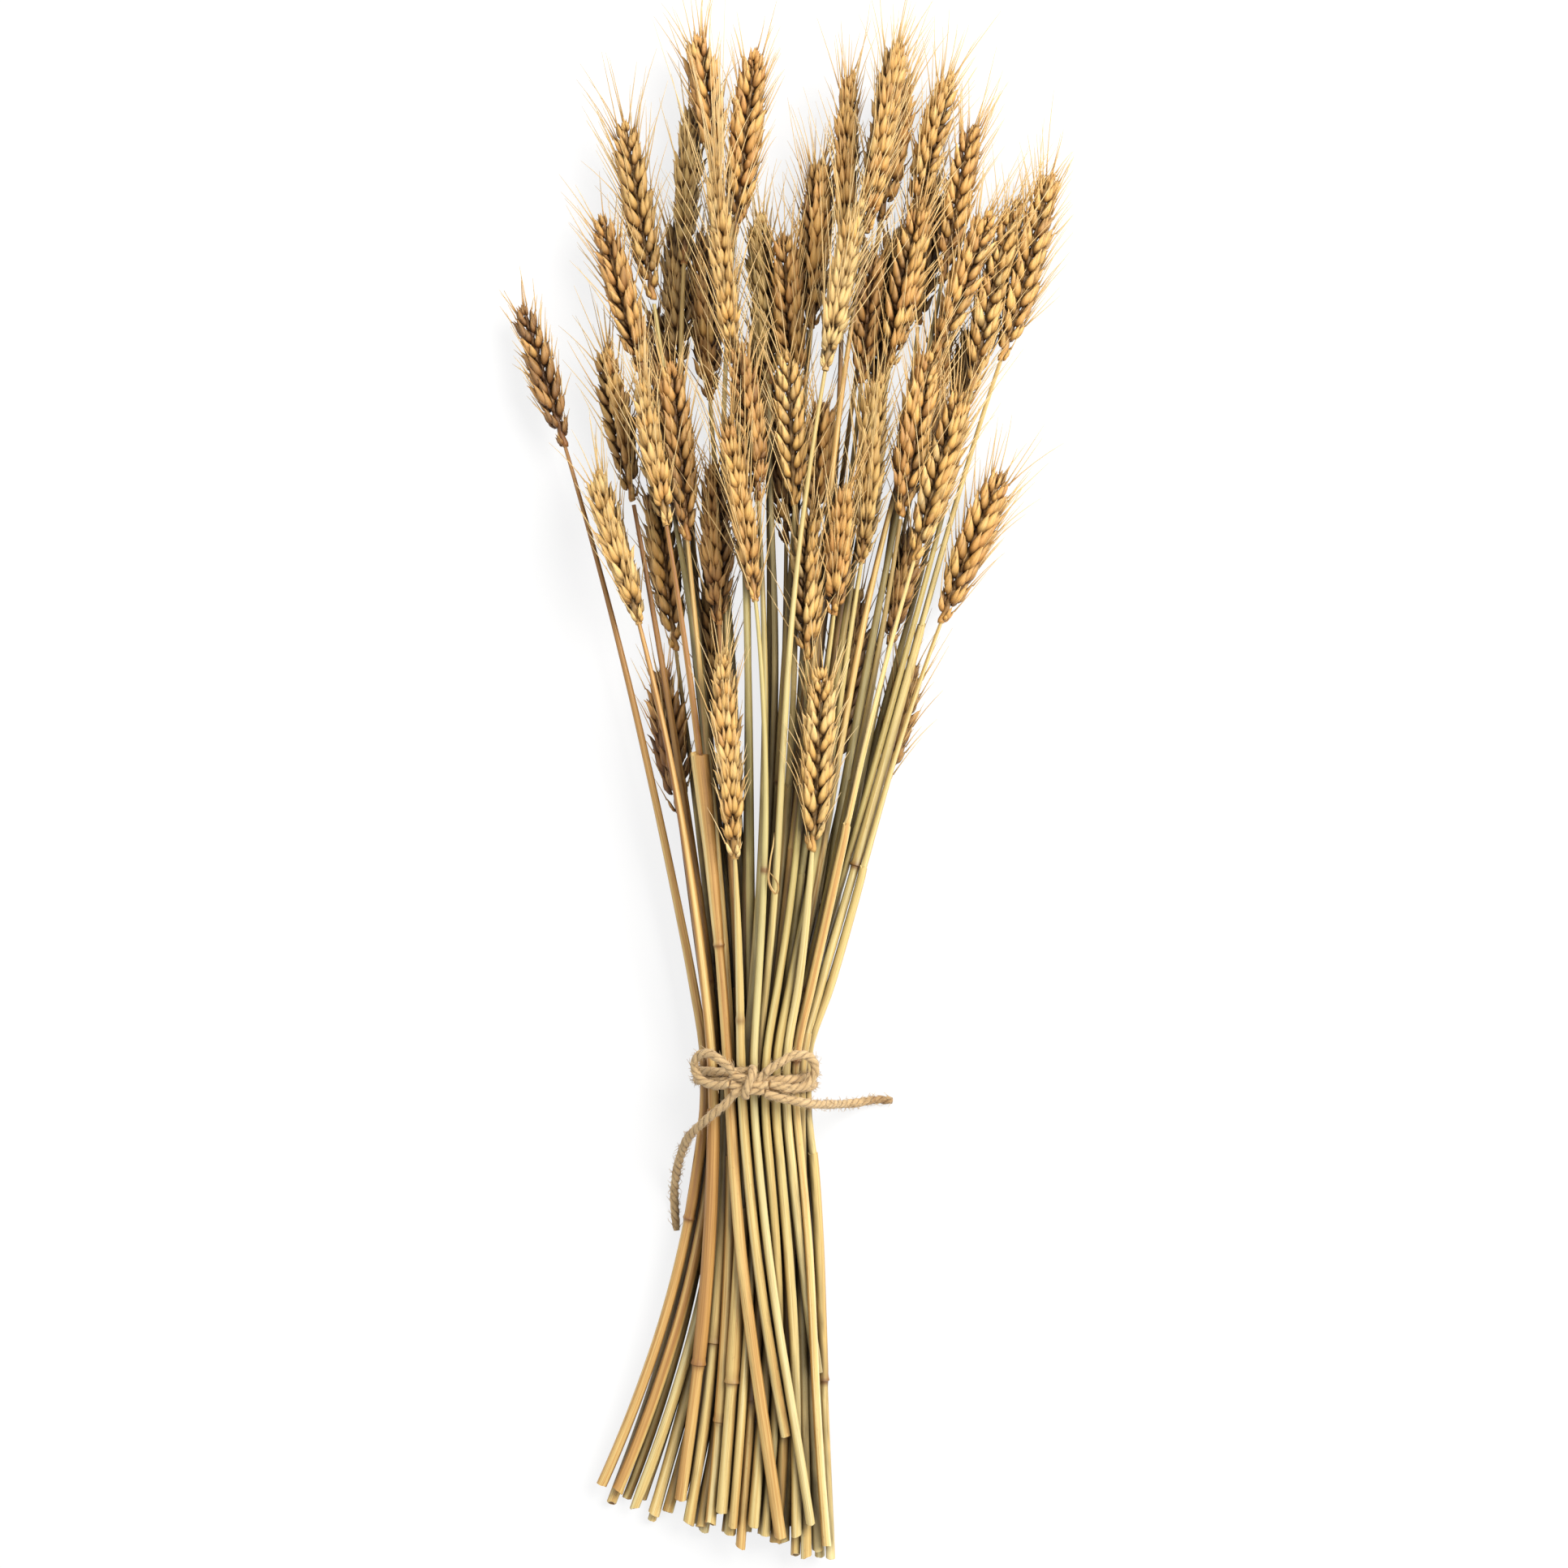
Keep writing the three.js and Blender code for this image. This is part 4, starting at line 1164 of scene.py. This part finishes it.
def husk_material():
    """Papery husks: gold with browner feet, pale points and fine nerves, and painted shade in
    crevices and under the stalks above.
    """
    n = Nodes("husk")
    tone, olive, chance, painted_shade = n.channels()
    along = n.along()
    nerve = n.noise((22, 1.6), 2.0, 0.5)
    patch = n.noise((3, 2), 2.0)
    level = n.add(n.add(n.times(tone, 0.75), n.times(chance, 0.16)), n.times(patch, 0.2))
    body = n.ramp(
        level,
        (0.0, 122, 76, 34),
        (0.14, 154, 102, 48),
        (0.38, 206, 146, 74),
        (0.7, 236, 184, 98),
        (1.0, 247, 215, 146),
    )
    greyed = n.mix(olive, body, (188, 168, 104))
    pale = n.math("ADD", n.times(tone, 0.6), 0.25, True)
    tipped = n.mix(n.times(n.math("POWER", along, 2.2), pale), greyed, (247, 216, 148))
    foot = n.times(n.math("SUBTRACT", 0.4, along, True), 1.5)
    footed = n.mix(foot, tipped, (122, 70, 28))
    lined = n.mix(n.over(nerve, 0.47, 2.4), footed, (168, 114, 54))
    # Painted shade in the crevices between husks.
    painted_crevice_shade = n.painted_crevice_shade(2.5 * MM, lined, (96, 52, 20))
    # Painted shade: darker and browner the deeper the place lies under the bundle's upper side.
    n.colour(n.mix(n.times(painted_shade, COVER_SHADE), painted_crevice_shade, (44, 25, 9)))
    n.rough(n.add(n.times(nerve, 0.25), 0.4))
    n.bump(nerve, 0.7, 0.2 * MM)
    n.settings(
        Subsurface_Weight=0.1, Subsurface_Radius=(0.0016, 0.0009, 0.0004), Subsurface_Scale=1.0
    )
    return n.material


def awn_material():
    """Bristles: straw gold at the foot, paler towards the point, with painted shade under the stalks
    above.
    """
    n = Nodes("awn")
    tone, olive, chance, painted_shade = n.channels()
    level = n.add(n.add(n.times(n.along(), 0.45), n.times(chance, 0.35)), n.times(tone, 0.3))
    body = n.ramp(level, (0.05, 206, 154, 86), (0.5, 232, 192, 124), (1.0, 244, 218, 164))
    greyed = n.mix(n.times(olive, 0.5), body, (190, 170, 110))
    # Painted shade: darker the deeper the place lies under the bundle's upper side.
    n.colour(n.mix(n.times(painted_shade, 0.6 * COVER_SHADE), greyed, (80, 48, 20)))
    n.settings(Roughness=0.42)
    return n.material


def jute_material():
    """Natural jute: each ply of fine slanted fibres, with painted shade in the grooves between the
    plies.
    """
    n = Nodes("jute")
    tone, ply, _, _ = n.channels()
    fibre = n.noise((34, 0.8), 4.0, 0.7)
    patch = n.noise((1.2, 0.16), 2.0)
    level = n.add(n.times(tone, 0.5), n.times(patch, 0.5))
    base = n.ramp(level, (0.15, 140, 102, 60), (0.5, 212, 180, 130), (0.85, 232, 206, 160))
    lined = n.mix(n.over(fibre, 0.45, 2.2), base, (146, 108, 64))
    # Painted shade in the grooves between the plies.
    depth = n.math("SUBTRACT", 1.0, n.math("MINIMUM", n.times(ply, 1.5), 1.0))
    n.colour(n.mix(n.times(depth, 0.85), lined, (92, 62, 32)))
    n.bump(fibre, 0.8, 0.25 * MM)
    n.settings(Roughness=0.85, Sheen_Weight=0.2, Sheen_Roughness=0.5)
    return n.material


# ---------------------------------------------------------------- floor and light

FLOOR_REACH = 6.0
# The share of the floor's look that is plain white, so that shadows stay faint.
FLOOR_GLOW = 0.78
# How bright the sky looks, and how bright it lights.
SKY_SEEN = 0.97
SKY_LIGHT = 0.56


def seen_or_not(tree, seen, otherwise):
    """A value for what the camera sees directly, and another for all other light."""
    path = tree.nodes.new("ShaderNodeLightPath")
    value = tree.nodes.new("ShaderNodeMath")
    value.operation = "MULTIPLY_ADD"
    tree.links.new(path.outputs["Is Camera Ray"], value.inputs[0])
    value.inputs[1].default_value = seen - otherwise
    value.inputs[2].default_value = otherwise
    return value.outputs[0]


def make_floor():
    mesh = bpy.data.meshes.new("floor")
    corners = ((-1, -1), (1, -1), (1, 1), (-1, 1))
    points = [(x * FLOOR_REACH, y * FLOOR_REACH, 0) for x, y in corners]
    mesh.from_pydata(points, [], [(0, 1, 2, 3)])
    n = Nodes("floor")
    n.settings(Base_Color=(0.93, 0.925, 0.915, 1), Roughness=0.9)
    glow = n.node("ShaderNodeEmission").outputs[0]
    seen = seen_or_not(n.tree, FLOOR_GLOW, 0.0)
    blend = n.node("ShaderNodeMixShader", {0: seen, 1: n.shader.outputs[0], 2: glow})
    n.tree.links.new(blend.outputs[0], n.tree.nodes["Material Output"].inputs["Surface"])
    mesh.materials.append(n.material)
    floor = bpy.data.objects.new("floor", mesh)
    bpy.context.scene.collection.objects.link(floor)


def add_light(name, place, aim, size, watts, colour):
    data = bpy.data.lights.new(name, "AREA")
    data.shape = "DISK"
    data.size = size
    data.energy = watts
    data.color = colour
    light = bpy.data.objects.new(name, data)
    light.location = place
    light.rotation_mode = "QUATERNION"
    light.rotation_quaternion = (Vector(place) - Vector(aim)).to_track_quat("Z", "Y")
    bpy.context.scene.collection.objects.link(light)


def make_light():
    world = bpy.data.worlds.new("studio")
    world.use_nodes = True
    background = world.node_tree.nodes["Background"]
    background.inputs["Color"].default_value = (0.95, 0.97, 1.0, 1)
    strength = seen_or_not(world.node_tree, SKY_SEEN, SKY_LIGHT)
    world.node_tree.links.new(strength, background.inputs["Strength"])
    bpy.context.scene.world = world
    add_light("key", (0.9, 0.65, 1.4), (0, 0.05, 0), 1.2, 40, (1.0, 0.98, 0.95))
    add_light("fill", (-0.6, -0.3, 1.8), (0, 0, 0), 1.6, 5, (0.96, 0.98, 1.0))
    bpy.context.scene.view_settings.view_transform = "Standard"
    bpy.context.scene.view_settings.look = "None"


# ---------------------------------------------------------------- everything in place

stalks = [Stalk(name) for name in STALK_NAMES]
shade_under_cover = ShadeUnderCover(stalks)

jute = jute_material()
make_free_twine("bow_loop_left", LEFT_LOOP, "object", jute, 21)
make_free_twine("bow_loop_right", RIGHT_LOOP, "object", jute, 22)
make_free_twine("twine_tail_left", LEFT_TAIL, "bare", jute, 23)
make_free_twine("twine_tail_right", RIGHT_TAIL, "bare", jute, 24, end_tone=0.1)
make_band(jute)
make_knot(jute)

straw, husk, awn = straw_material(), husk_material(), awn_material()
for wheat_stalk in stalks:
    make_straw(wheat_stalk, straw)
    make_ear(wheat_stalk, husk, awn)
make_curled_leaf(stalks, straw)

make_floor()
make_light()
